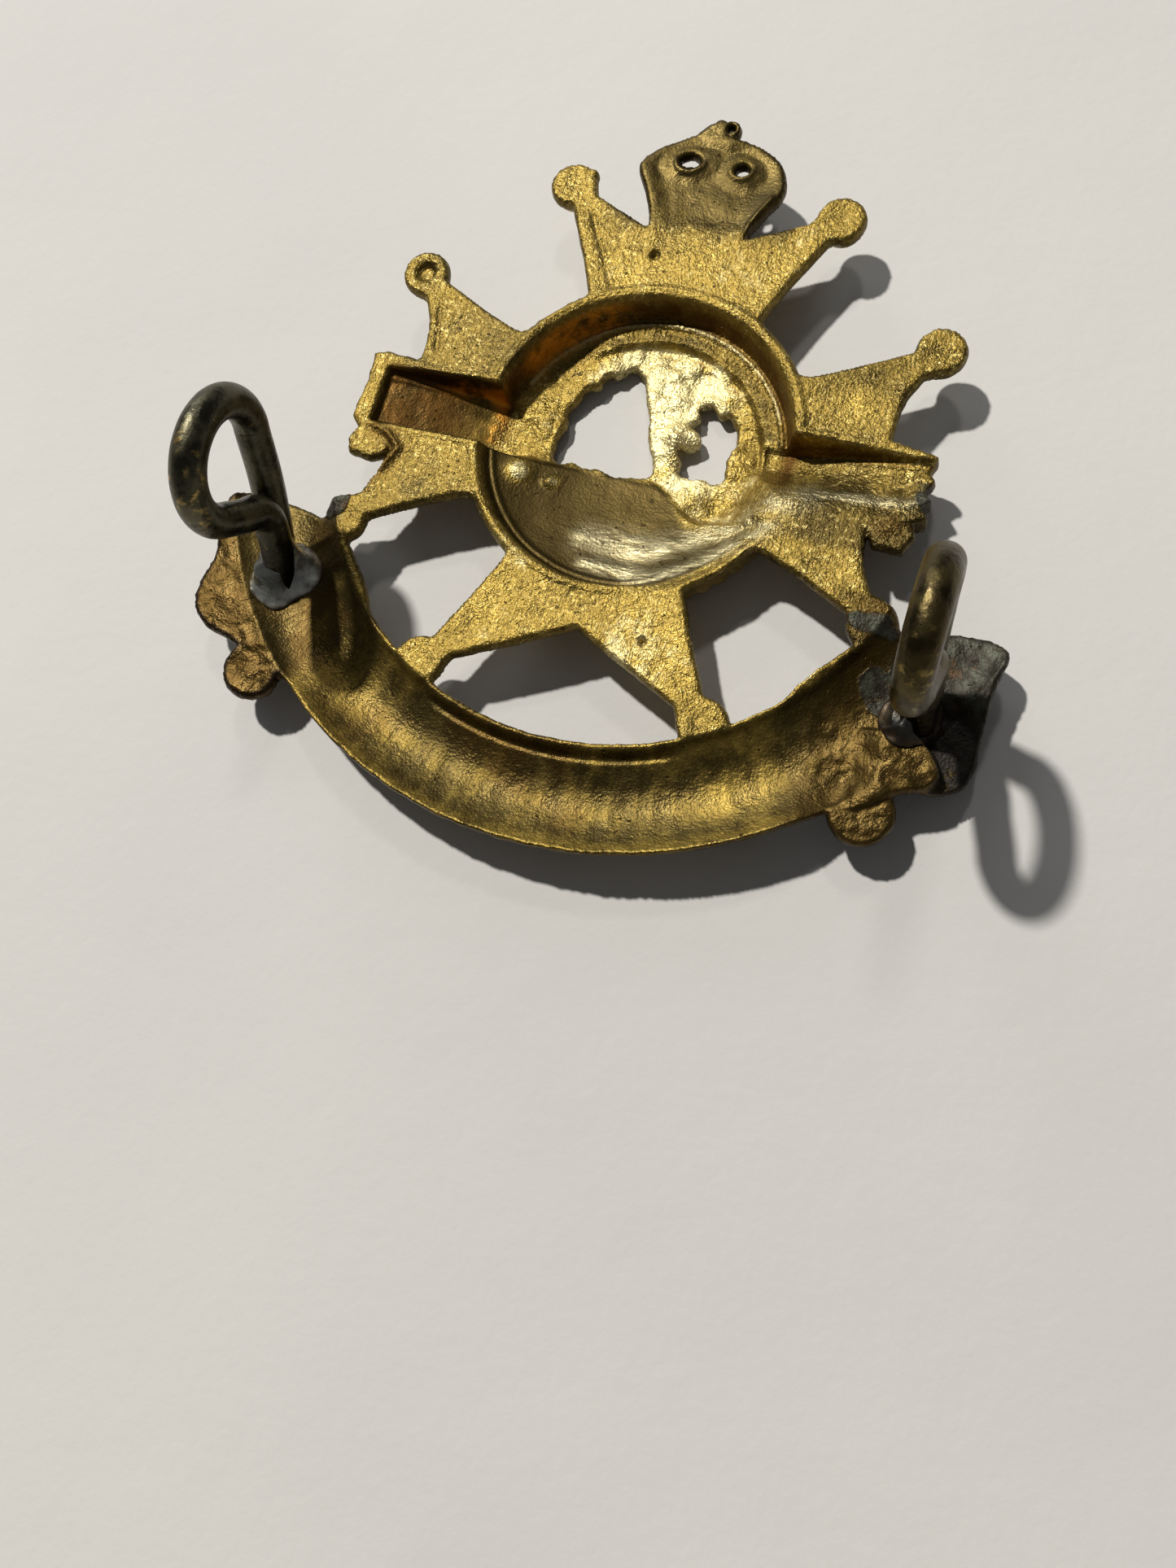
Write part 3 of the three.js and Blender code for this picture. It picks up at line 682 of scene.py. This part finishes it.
def paint_plate(piece, x, y, z):
    """Where the plate is bright or dark, stained, smeared with solder or corroded."""
    r = np.hypot(x, y)
    from_inner, from_outer = band_place(x, y)
    wobble = 0.5 * rough(x, y, 2.0, 81)
    near = lambda cx, cy, size: bell(away(x, y, cx, cy) + 0.4 * wobble, size)
    put = lambda name, value, least=0: paint(piece, name, np.clip(value, least, 1))
    on_scroll = scroll_share(x, y)
    bowl_edge = -0.3 - 2.2 * smooth(2.0, 5.0, x)
    in_bowl = smooth(0.2, bowl_edge, y - under_voids(x)) * smooth(LIP_R, LIP_R - 0.3, r)
    floor = floor_share(x, r, in_bowl)
    right_end = smooth(11.5, 15.0, x) * (y < SCROLL_Y)
    left_channel = smooth(-7.6, -9.2, x) * smooth(-15.3, -15.0, x)
    left_channel = left_channel * smooth(1.9, 1.6, y) * smooth(-2.0, -1.8, y)

    # From 0, dark, to 1, bright: tarnish that differs by place, plus painted shade and highlights: the arms
    # and crown, the ribbon, the scroll, then the centre.
    tone_and_painted_light = 0.5 + 0.2 * bell(y - 10, 1.7) * bell(x - 1, 4.5)
    # Painted shade: the crown tilts away from the light and is painted darker.
    tone_and_painted_light -= 0.5 * smooth(12.0, 14.0, y) * smooth(6.0, 4.5, np.abs(x))
    tone_and_painted_light += -0.22 * near(-12, 5, 5) - 0.16 * near(-12, -5, 3) - 0.25 * smooth(9.0, 11.0, x) * bell(y, 1.4)
    tone_and_painted_light += -0.18 * near(13, 7, 4) + 0.45 * near(11.5, 4.0, 1.0) + 0.25 * near(4.5, -12.5, 3.5)
    tone_and_painted_light += 0.12 * near(-5, -11.5, 3.5) - 0.06 * near(11.5, -6, 3)
    tone_and_painted_light -= 0.34 * smooth(8.6, 10.5, x) * smooth(-0.6, -1.2, y) * smooth(-4.6, -4.0, y)
    tone_and_painted_light += on_scroll * (0.2 * near(-11, -16, 2.5) + 0.3 * near(9.5, -16.5, 3) - 0.32)
    # On the scroll: brushed strokes, a painted highlight along the outer edge, and painted shade across the
    # band near the inner edge.
    tone_and_painted_light += on_scroll * (0.16 * brushed(x, y) + 0.3 * bell(from_outer - 0.3, 0.3))
    tone_and_painted_light -= on_scroll * 0.15 * bell(from_inner - 1.6, 0.9)
    tone_and_painted_light += 0.5 * bell(to_line(x, y, *CRUST), 0.3)
    # Painted shade on the left flap, which tilts away from the light; the right end is darker too.
    tone_and_painted_light -= 0.55 * smooth(-14.5, -16, x) * (y < SCROLL_Y) + 0.42 * right_end
    # The hammered floor is brighter, with painted highlights at its top and by the right void.
    tone_and_painted_light += floor * (0.12 + 0.75 * bell(away(x, y, 0.5, 4.6, 0.7), 2.6) + 0.6 * near(2.2, -0.2, 2.0))
    # A painted highlight along the foot of the wall, and the ledge inside it is darker.
    tone_and_painted_light += 0.6 * bell(r - 7.95, 0.16) * (y > 3) - 0.22 * bell(r - LEDGE_R - 0.2, 0.45) * (z < -1.3) * (y > 2)
    leaves = np.maximum(near(-6.2, -2.6, 0.8), near(-4.3, -2.75, 0.45))
    in_bowl = in_bowl * (1 - np.clip(leaves * 1.4, 0, 1))
    tone_and_painted_light = (tone_and_painted_light + leaves) * (1 - in_bowl) + 0.1 * in_bowl
    # Painted shade in the left ribbon's channel, darker towards its left end.
    put("tone_and_painted_light", tone_and_painted_light * (1 - 0.9 * left_channel * smooth(-8.5, -12.0, x)))
    put("bowl", in_bowl)
    on_crown = smooth(13.0, 14.5, y) * smooth(5.2, 4.4, np.abs(x))
    put("grain", 1 - 0.7 * in_bowl - 0.6 * on_crown - 0.45 * on_scroll - 0.65 * left_channel, 0.2)

    # Silvery streaks, partly solder smeared on and partly a painted highlight: up from the foot of the bowl,
    # and out along the lower side of the right ribbon.
    low_rim = to_line(x, y, (-0.8, -7.2), (3.0, -7.5), (5.2, -6.2), (8.2, -3.9)) + 0.5 * wobble
    sweep = to_line(x, y, (-1.5, -5.6), (2.2, -5.9), (5.2, -4.4), (8.0, -2.5), (10.0, -1.3)) + 0.6 * wobble
    streak = to_line(x, y, (10.0, -1.2), (15.4, -1.1)) + 0.5 * wobble
    put("tin_smear_and_highlight", np.maximum.reduce([bell(low_rim, 0.55), 0.9 * bell(sweep, 0.75), bell(streak, 0.3)]))

    # Black and green corrosion: on the right flap, at the right lug, on the tips above the two lugs and at
    # the end of the right ribbon.
    lapped = smooth(0.3, -0.3, polygon(x, y, LAP))
    ragged = wobble + 0.5 * rough(x, y, 0.7, 83)
    spots = [smooth(4.6, 2.6, away(x, y, 19.6, -11.2, 1.15, 0.8) + 0.8 * wobble) * (1 - 0.8 * lapped),
             smooth(1.9, 0.7, away(x, y, 16.2, -10.9, 1.1) + ragged),
             smooth(1.2, 0.4, away(x, y, 15.0, -7.9, 0.6, 1.3) + 0.7 * ragged),
             smooth(1.2, 0.5, away(x, y, -15.7, -6.9) + 0.6 * wobble),
             0.8 * smooth(1.2, 0.4, away(x, y, 16.0, -0.4, 1.3) + 0.6 * wobble)]
    put("corroded", np.maximum.reduce(spots))
    put("black", smooth(2.7, 1.5, to_pocket(x, y) + 0.3 * wobble) * (1 - lapped))

    # Brown: painted shade on the steep sides of the hollows and in the left ribbon's channel, and stained
    # along the folds, on the left flap and in patches.
    shaded_walls = smooth(-0.25, -0.7, z) * (bell(r - 8.35, 0.5) * (y > -1) + bell(y - 1.6, 0.35) * (r > 8.3))
    ribbon_shade = left_channel * (0.92 - 0.5 * smooth(-12.0, -8.5, x))
    left_flap = smooth(0.4, -0.4, from_outer) * (x < -14.5) * (y < SCROLL_Y)
    patches = smooth(0.2, 0.6, rough(x, y, 4.5, 91)) * on_scroll
    stain_and_shade_parts = [shaded_walls, ribbon_shade, 0.7 * bell(to_line(x, y, *FOLDS), 0.5), 0.45 * left_flap, 0.45 * patches,
              0.35 * right_end, 0.5 * near(14.5, -2.6, 0.9), 0.4 * near(-15.5, -9.5, 1.5)]
    put("stain_and_shade", np.maximum.reduce(stain_and_shade_parts))
    # A painted orange reflection on the shaded sides of the hollow at the upper left, and on the left
    # ribbon's upper wall.
    upper_left = bell(to_line(x, y, (-7.3, 4.6), (-5.8, 6.3), (-4.0, 7.5)), 1.2)
    put("amber_reflection", shaded_walls * np.maximum(upper_left, smooth(-13, -11, x) * smooth(-8, -9, x)))


# ---- Lugs and solder ----


def lug_foot(side):
    return (-LUG_X if side == "left" else LUG_X), LUG_Y, FOOT_Z


def smooth_line(points, steps=6):
    """An open smooth curve through points."""
    p = np.asarray(points, float)
    p = np.vstack([2 * p[0] - p[1], p, 2 * p[-1] - p[-2]])
    return np.vstack([catmull_rom(p[:-3], p[1:-2], p[2:-1], p[3:], steps), p[-2:-1]])


def loft(rings, first, last):
    """Points and faces of a closed surface: quads between rings, and a fan to a point at either end."""
    count, around = len(rings), len(rings[0])
    low, high = count * around, count * around + 1
    start = np.arange(around)
    after = np.roll(start, -1)
    faces = []
    for k in range(0, (count - 1) * around, around):
        faces += (np.column_stack([start, after, after + around, start + around]) + k).tolist()
    top = (count - 1) * around
    for a, b in zip(start.tolist(), after.tolist()):
        faces += [[low, b, a], [high, top + a, top + b]]
    return np.vstack([*rings, first, last]), faces


def circle_angles(count):
    return np.arange(count) * 2 * math.pi / count


def lug_line(side):
    """The wire's middle line: up one leg, round the eye, and down the other, which lies along the first."""
    around = np.radians(np.arange(-17, 246, 12))
    eye = np.column_stack([EYE_R * np.cos(around), EYE_HEIGHT + EYE_R * np.sin(around)])
    up = [(0.5, 0.0), (1.3, 2.2), (1.95, 4.4), (2.5, 6.7)]
    down = [(-0.45, 6.45), (0.4, 5.85), (0.95, 4.8), (0.8, 3.3), (0.35, 1.7), (-0.2, 0.3)]
    y, z = smooth_line(np.vstack([up, eye, down])).T
    c, s = math.cos(LUG_LEANS[side]), math.sin(LUG_LEANS[side])
    # The wire waves a little, and its last leg lies beside the first.
    x = 0.06 * np.sin(np.linspace(0, 8, len(y))) + 0.3 * smooth(0.75, 0.9, np.linspace(0, 1, len(y)))
    return np.column_stack([x, y * c + z * s, z * c - y * s]) + lug_foot(side)


def lug(side, seed):
    """A bent wire with slightly flattened places and rounded ends."""
    middle = lug_line(side)
    along = np.gradient(middle, axis=0)
    along /= np.linalg.norm(along, axis=1)[:, None]
    across = np.array([1.0, 0, 0]) - along * along[:, :1]
    across /= np.linalg.norm(across, axis=1)[:, None]
    third = np.cross(along, across)
    angle = circle_angles(36)[:, None]
    # Station, how far forward of it, and share of the radius. Two smaller rings round each end off.
    final = len(middle) - 1
    stations = [(0, -0.10, 0.6), (0, -0.04, 0.9)] + [(i, 0, 1) for i in range(final + 1)]
    stations += [(final, 0.04, 0.9), (final, 0.10, 0.6)]
    rings = []
    for i, forward, share in stations:
        spoke = across[i] * np.cos(angle) + third[i] * np.sin(angle)
        centre = middle[i] + along[i] * forward
        x, y, z = (centre + spoke * WIRE_R).T
        u, v = x + 0.7 * z, y - 0.6 * z
        dent = 0.025 * rough(u, v, 2.6, seed) + 0.008 * rough(u, v, 0.6, seed + 1)
        rings.append(centre + spoke * (WIRE_R * share * (1 + dent))[:, None])
    points, faces = loft(rings, middle[:1] - along[:1] * 0.12, middle[-1:] + along[-1:] * 0.12)
    piece = mesh_object(side + "_lug_wire", points, faces)
    height = points[:, 2] - FOOT_Z
    eye_y = middle[:, 1].min() + 1.5
    paint(piece, "worn", smooth(8.0, 11.0, height) * smooth(eye_y + 2.0, eye_y, points[:, 1]))
    paint(piece, "grime", smooth(5.0, 1.0, height))
    return piece


def surface(x, y):
    return back(x, y, -np.minimum(outline(x, y), 0))


def solder(side, radius, rise, lobes, seed):
    """Metal that has crept up the legs of a lug and run out over the plate, thin at its edge. Each lobe is an
    angle where it runs further, how much further, and how wide the lobe is."""
    foot_x, foot_y, _ = lug_foot(side)
    slope = math.tan(LUG_LEANS[side] + TANGENT)
    angle = circle_angles(96)
    turn = lambda at: (angle - at + math.pi) % (2 * math.pi) - math.pi
    further = sum(size * bell(turn(math.radians(at)), width) for at, size, width in lobes)
    reach = radius + further + 0.12 * rough(3 * np.cos(angle) + 9, 3 * np.sin(angle), 1.6, seed)
    root = WIRE_R * 0.85 + 0.45 * np.abs(np.sin(angle))
    rings, share = [], []
    for t in np.linspace(0, 1, 20):
        rho = root + (reach - root) * t
        climb = rise * (0.55 + 0.6 * further) * (1 - t) ** 2.3
        x = foot_x + rho * np.cos(angle)
        y = foot_y + rho * np.sin(angle) + slope * climb * 0.9
        lump = 0.13 * rough(x, y, 1.5, seed + 3) * math.sin(math.pi * t)
        thickness = 0.24 * math.sqrt(1 - t**6) - 0.03
        rings.append(np.column_stack([x, y, surface(x, y) + climb + lump + thickness]))
        share.append(np.full(len(angle), t))
    edge = rings[-1] - (0, 0, 0.16)  # under the plate's surface, so no gap shows
    inner = (foot_x, foot_y + 0.5, rings[0][:, 2].mean() - 0.2)
    points, faces = loft([*rings, edge], inner, (foot_x, foot_y, edge[:, 2].mean()))
    # The rings run outward, so each face is turned over.
    piece = mesh_object(side + "_solder_fillet", points, [face[:1] + face[:0:-1] for face in faces])
    paint(piece, "thin", np.concatenate([*share, np.ones(len(angle)), [0, 1]]))
    return piece


# ---- Materials ----


def rgb(r, g, b):
    """An sRGB colour, 0 to 255, as Blender's linear values."""
    return tuple(((c / 255 + 0.055) / 1.055) ** 2.4 for c in (r, g, b)) + (1.0,)


class Look:
    """A metal or paper, built up by calls that each give a socket. Sizes are in millimetres."""

    def __init__(self, name):
        self.material = bpy.data.materials.new(name)
        self.material.use_nodes = True
        self.tree = self.material.node_tree
        self.shader = self.tree.nodes["Principled BSDF"]
        place = self.add("TexCoord").outputs["Object"]
        self.place = self.add("VectorMath", {0: place, "Scale": 1 / MM}, operation="SCALE").outputs[0]

    def add(self, kind, inputs=None, **settings):
        node = self.tree.nodes.new("ShaderNode" + kind)
        for key, value in settings.items():
            setattr(node, key, value)
        for key, value in (inputs or {}).items():
            if isinstance(value, bpy.types.NodeSocket):
                self.tree.links.new(value, node.inputs[key])
            else:
                node.inputs[key].default_value = value
        return node

    def noise(self, size, detail, distortion=0.0, place=None):
        wanted = {"Vector": place or self.place, "Scale": 1 / size, "Detail": detail, "Roughness": 0.55,
                  "Distortion": distortion}
        return self.add("TexNoise", wanted).outputs["Fac"]

    def stretched(self, turn, scale):
        """The place turned about Z and scaled, which draws a noise out into lines."""
        wanted = {"Vector": self.place, "Rotation": (0, 0, turn), "Scale": scale}
        return self.add("Mapping", wanted).outputs["Vector"]

    def painted(self, name):
        return self.add("Attribute", attribute_name=name).outputs["Fac"]

    def span(self, value, low, high, to_low=0.0, to_high=1.0):
        """A smooth step from to_low where value is low to to_high where it is high."""
        wanted = {"Value": value, "From Min": low, "From Max": high, "To Min": to_low, "To Max": to_high}
        return self.add("MapRange", wanted, interpolation_type="SMOOTHSTEP").outputs["Result"]

    def calc(self, operation, a, b=0.0):
        return self.add("Math", {0: a, 1: b}, operation=operation).outputs[0]

    def times(self, a, b):
        return self.calc("MULTIPLY", a, b)

    def plus(self, a, b):
        return self.calc("ADD", a, b)

    def centred(self, value, amount):
        """A noise's ups and downs about its middle, times an amount."""
        return self.times(self.calc("SUBTRACT", value, 0.5), amount)

    def mix(self, share, a, b):
        return self.add("Mix", {0: share, 6: a, 7: b}, data_type="RGBA").outputs[2]

    def blend(self, share, a, b):
        return self.add("Mix", {0: share, 2: a, 3: b}, data_type="FLOAT").outputs[0]

    def bump(self, height, distance):
        wanted = {"Height": height, "Distance": distance * MM, "Strength": 1.0}
        return self.add("Bump", wanted).outputs["Normal"]

    def wire(self, **sockets):
        """Links or sets the shader's own sockets."""
        for name, value in sockets.items():
            socket = self.shader.inputs[name.replace("_", " ")]
            if isinstance(value, bpy.types.NodeSocket):
                self.tree.links.new(value, socket)
            else:
                socket.default_value = value
        return self.material


def corrosion(look):
    """How far the metal is eaten, and the crust's colour: black, green-grey, and brown in patches."""
    patchy = look.times(look.painted("corroded"), look.span(look.noise(0.8, 5), 0.25, 0.55, 0.5, 1.3))
    crust = look.mix(look.span(look.noise(0.9, 4), 0.42, 0.62), rgb(40, 37, 28), rgb(72, 74, 62))
    crust = look.mix(look.times(look.span(look.noise(1.6, 3), 0.58, 0.7), 0.6), crust, rgb(92, 66, 36))
    crust = look.mix(look.times(look.painted("black"), 0.9), crust, rgb(20, 14, 9))
    return look.span(patchy, 0.25, 0.75), crust


def gilding_metal():
    """Struck brass with its old gilding: gold where it is rubbed and in painted highlights, olive and brown
    where it has tarnished and in painted shade.
    """
    olive, brass, gold = rgb(80, 67, 32), rgb(158, 133, 62), rgb(250, 234, 172)
    look = Look("gilding_metal")
    broad, cloudy = look.noise(4.2, 4), look.noise(1.3, 4)
    fine, grain, specks = look.noise(0.34, 3), look.noise(0.14, 2), look.noise(0.3, 3)
    bowl, tin_smear_and_highlight = look.painted("bowl"), look.painted("tin_smear_and_highlight")

    # Tarnish, mottled, and less so in the smooth bowl, laid over the painted shade and highlights that the
    # plate carries.
    mottle = look.plus(look.centred(cloudy, 0.9), look.centred(broad, 0.8))
    mottle = look.times(look.plus(mottle, look.centred(grain, 0.5)), look.blend(bowl, 1.0, 0.35))
    level = look.plus(look.painted("tone_and_painted_light"), mottle)
    colour = look.mix(look.span(level, 0.0, 0.75), olive, brass)
    colour = look.mix(look.span(level, 0.68, 1.1), colour, gold)
    colour = look.mix(look.times(bowl, 0.9), colour, rgb(68, 55, 22))

    # Where the surface is grainy, some specks are darker and others are painted glints.
    grainy = look.times(look.span(look.painted("grain"), 0.45, 1.0), look.span(broad, 0.35, 0.6, 0.35, 1.0))
    dark_specks = look.times(look.span(specks, 0.5, 0.3), grainy)
    raised = look.times(look.span(specks, 0.52, 0.74), grainy)
    colour = look.mix(look.times(dark_specks, 0.35), colour, rgb(88, 70, 32))
    colour = look.mix(look.times(raised, 0.5), colour, rgb(246, 222, 142))

    # Brown where stained or in painted shade, a painted orange reflection, then silvery streaks, partly
    # solder and partly a painted highlight.
    brown = look.times(look.painted("stain_and_shade"), look.span(cloudy, 0.25, 0.6, 0.5, 1.0))
    colour = look.mix(brown, colour, rgb(88, 60, 19))
    amber_reflection = look.times(look.painted("amber_reflection"), look.span(cloudy, 0.35, 0.6))
    colour = look.mix(look.times(amber_reflection, 0.9), colour, rgb(255, 172, 54))
    streaks = look.noise(0.7, 5, distortion=0.6, place=look.stretched(-0.5, (0.4, 1.5, 1.0)))
    tin_and_highlight = look.times(tin_smear_and_highlight, look.span(streaks, 0.3, 0.62, 0.1, 0.85))
    colour = look.mix(tin_and_highlight, colour, rgb(196, 184, 142))

    # Corrosion, pits, and painted shade along the edges.
    eaten, crust = corrosion(look)
    colour = look.mix(look.times(eaten, 0.94), colour, crust)
    pits = look.span(look.noise(0.42, 2), 0.69, 0.74)
    colour = look.mix(look.times(pits, 0.7), colour, rgb(48, 36, 20))
    rim = look.times(look.span(look.painted("edge"), 0.15, 0.75), look.span(cloudy, 0.2, 0.5, 0.7, 1.0))
    colour = look.mix(rim, colour, rgb(52, 40, 22))

    roughness = look.blend(bowl, look.span(cloudy, 0.3, 0.7, 0.33, 0.5), 0.42)
    roughness = look.blend(eaten, look.blend(tin_and_highlight, roughness, 0.34), 0.50)

    # Relief: sandy grain with fine scratches, pits, and the lumps of the smear and the crust.
    scratch = look.noise(0.5, 2, place=look.stretched(0.5, (1.0, 0.06, 1.0)))
    lines = look.span(look.calc("ABSOLUTE", look.calc("SUBTRACT", scratch, 0.5)), 0.0, 0.02)
    sandy = look.plus(look.times(fine, 0.7), look.times(grain, 0.7))
    height = look.plus(look.times(sandy, look.painted("grain")), look.times(look.times(lines, 0.10), grainy))
    height = look.calc("SUBTRACT", height, look.times(pits, 0.5))
    height = look.plus(height, look.times(look.times(tin_smear_and_highlight, streaks), 1.4))
    height = look.plus(height, look.times(look.times(eaten, cloudy), 1.2))
    return look.wire(Base_Color=colour, Metallic=look.blend(eaten, 0.85, 0.55), Roughness=roughness,
                     Normal=look.bump(height, 0.10))


def lug_wire(name, dark, lighter, brass):
    """Drawn wire under a dark patina, rubbed through to the metal in places."""
    look = Look(name)
    cloudy, fine = look.noise(1.1, 4), look.noise(0.3, 3)
    colour = look.mix(look.span(cloudy, 0.38, 0.62), dark, lighter)
    rubbed = look.span(look.plus(look.times(look.painted("worn"), 0.1), look.noise(0.6, 4)), 0.64, 0.82)
    colour = look.mix(look.times(rubbed, 0.8), colour, brass)
    grime = look.times(look.painted("grime"), look.span(fine, 0.3, 0.6, 0.4, 0.9))
    colour = look.mix(grime, colour, rgb(30, 25, 20))
    drawn = look.noise(0.5, 2, place=look.stretched(0.0, (3.0, 1.0, 0.12)))
    height = look.plus(fine, look.times(drawn, 0.4))
    return look.wire(Base_Color=colour, Metallic=0.95, Roughness=look.span(cloudy, 0.3, 0.7, 0.28, 0.46),
                     Normal=look.bump(height, 0.035))


def soft_solder(name, clean, dull, edge_colour, shine):
    """Tin solder, grimy where it thins out, with painted shade in the hollow by the wire. shine is its least
    roughness.
    """
    look = Look(name)
    cloudy, fine = look.noise(1.7, 3), look.noise(0.25, 3)
    thin = look.painted("thin")
    colour = look.mix(look.span(cloudy, 0.35, 0.6), clean, dull)
    grime = look.span(look.plus(thin, look.centred(cloudy, 1.4)), 0.6, 0.95)
    colour = look.mix(look.times(grime, 0.85), colour, edge_colour)
    # Painted shade in the concave fillet next to the wire.
    colour = look.mix(look.times(look.span(thin, 0.45, 0.1), 0.75), colour, rgb(56, 58, 56))
    roughness = look.plus(look.span(fine, 0.3, 0.7, shine, shine + 0.14), look.times(grime, 0.2))
    uneven = look.plus(look.times(fine, 0.4), look.times(look.noise(1.3, 1), 4))
    return look.wire(Base_Color=colour, Metallic=0.75, Roughness=roughness, Normal=look.bump(uneven, 0.09))


def paper():
    look = Look("paper")
    colour = look.mix(look.span(look.noise(60, 3), 0.3, 0.7), rgb(226, 224, 220), rgb(220, 218, 215))
    fibres = look.plus(look.noise(0.6, 4), look.times(look.noise(9, 3), 6))
    return look.wire(Base_Color=colour, Roughness=0.85, Normal=look.bump(fibres, 0.02))


def dress(piece, material, node):
    """Gives a piece its material, and puts it in the place of a CAD node."""
    piece.data.materials.append(material)
    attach(piece, "root")
    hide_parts(node)


grey_wire = lug_wire("lug_wire_left", rgb(62, 60, 48), rgb(92, 88, 70), rgb(186, 158, 92))
brown_wire = lug_wire("lug_wire_right", rgb(60, 52, 33), rgb(86, 75, 46), rgb(150, 128, 76))
bright = soft_solder("solder_bright", rgb(232, 232, 224), rgb(170, 172, 164), rgb(96, 80, 50), 0.22)
dark = soft_solder("solder_dark", rgb(84, 72, 56), rgb(52, 44, 36), rgb(40, 30, 20), 0.36)
left_lobes = [(35, 1.4, 0.7), (85, 0.9, 0.45), (-70, 0.3, 0.5)]
right_lobes = [(60, 0.5, 0.6), (-100, 0.2, 0.5)]
dress(plate(), gilding_metal(), "badge_plate")
dress(lug("left", 201), grey_wire, "left_lug")
dress(lug("right", 211), brown_wire, "right_lug")
dress(solder("left", 1.45, 2.2, left_lobes, 221), bright, "left_solder")
dress(solder("right", 1.55, 1.0, right_lobes, 231), dark, "right_solder")


# ---- Floor, light and camera ----


def lay_floor():
    half = 600 * MM
    mesh = bpy.data.meshes.new("floor")
    square = [(-half, -half, 0), (half, -half, 0), (half, half, 0), (-half, half, 0)]
    mesh.from_pydata(square, [], [(0, 1, 2, 3)])
    made = bpy.data.objects.new("floor", mesh)
    made.data.materials.append(paper())
    bpy.context.scene.collection.objects.link(made)


def lamp(name, toward, distance, across, watts, colour):
    """A round soft light that shines on the badge from a direction. Its distance and width are in metres."""
    data = bpy.data.lights.new(name, "AREA")
    data.shape, data.size, data.energy, data.color = "DISK", across, watts, colour
    made = bpy.data.objects.new(name, data)
    toward = Vector(toward).normalized()
    made.location = toward * distance
    made.rotation_mode = "QUATERNION"
    made.rotation_quaternion = toward.to_track_quat("Z", "Y")
    bpy.context.scene.collection.objects.link(made)


def camera(azimuth, elevation, roll, place, lens):
    """Looks along the angles, in degrees, from a place in millimetres in the frame."""
    azimuth, elevation, roll = math.radians(azimuth), math.radians(elevation), math.radians(roll)
    flat = math.cos(elevation)
    toward = Vector((math.sin(azimuth) * flat, -math.cos(azimuth) * flat, math.sin(elevation)))
    level = Vector((math.cos(azimuth), math.sin(azimuth), 0))
    x_axis = level * math.cos(roll) + toward.cross(level) * math.sin(roll)
    data = bpy.data.cameras.new("camera")
    data.sensor_fit, data.sensor_width, data.sensor_height = "AUTO", 36.0, 24.0
    data.lens = lens
    data.clip_start, data.clip_end = 0.002, 10.0
    made = bpy.data.objects.new("camera", data)
    turn = Matrix((x_axis, toward.cross(x_axis), toward)).transposed().to_4x4()
    made.matrix_world = Matrix.Translation(Vector(place) * MM) @ turn
    bpy.context.scene.collection.objects.link(made)
    bpy.context.scene.camera = made


lay_floor()
lamp("key", (-0.448, 0.346, 0.824), 1.0, 0.05, 8.9, (1.0, 0.97, 0.91))
lamp("second", (-0.08, 0.63, 0.76), 1.0, 0.10, 0.75, (1.0, 0.97, 0.93))
lamp("low", (-0.545, 0.735, 0.404), 1.2, 0.5, 1.6, (0.88, 0.94, 1.0))
camera(50.44, 72.18, -35.45, (19.265, -31.396, 68.701), 30.825)

world = bpy.data.worlds.new("world")
world.use_nodes = True
sky = world.node_tree.nodes["Background"]
sky.inputs["Color"].default_value = (0.66, 0.66, 0.67, 1)
sky.inputs["Strength"].default_value = 0.12
bpy.context.scene.world = world
bpy.context.scene.view_settings.view_transform = "Standard"
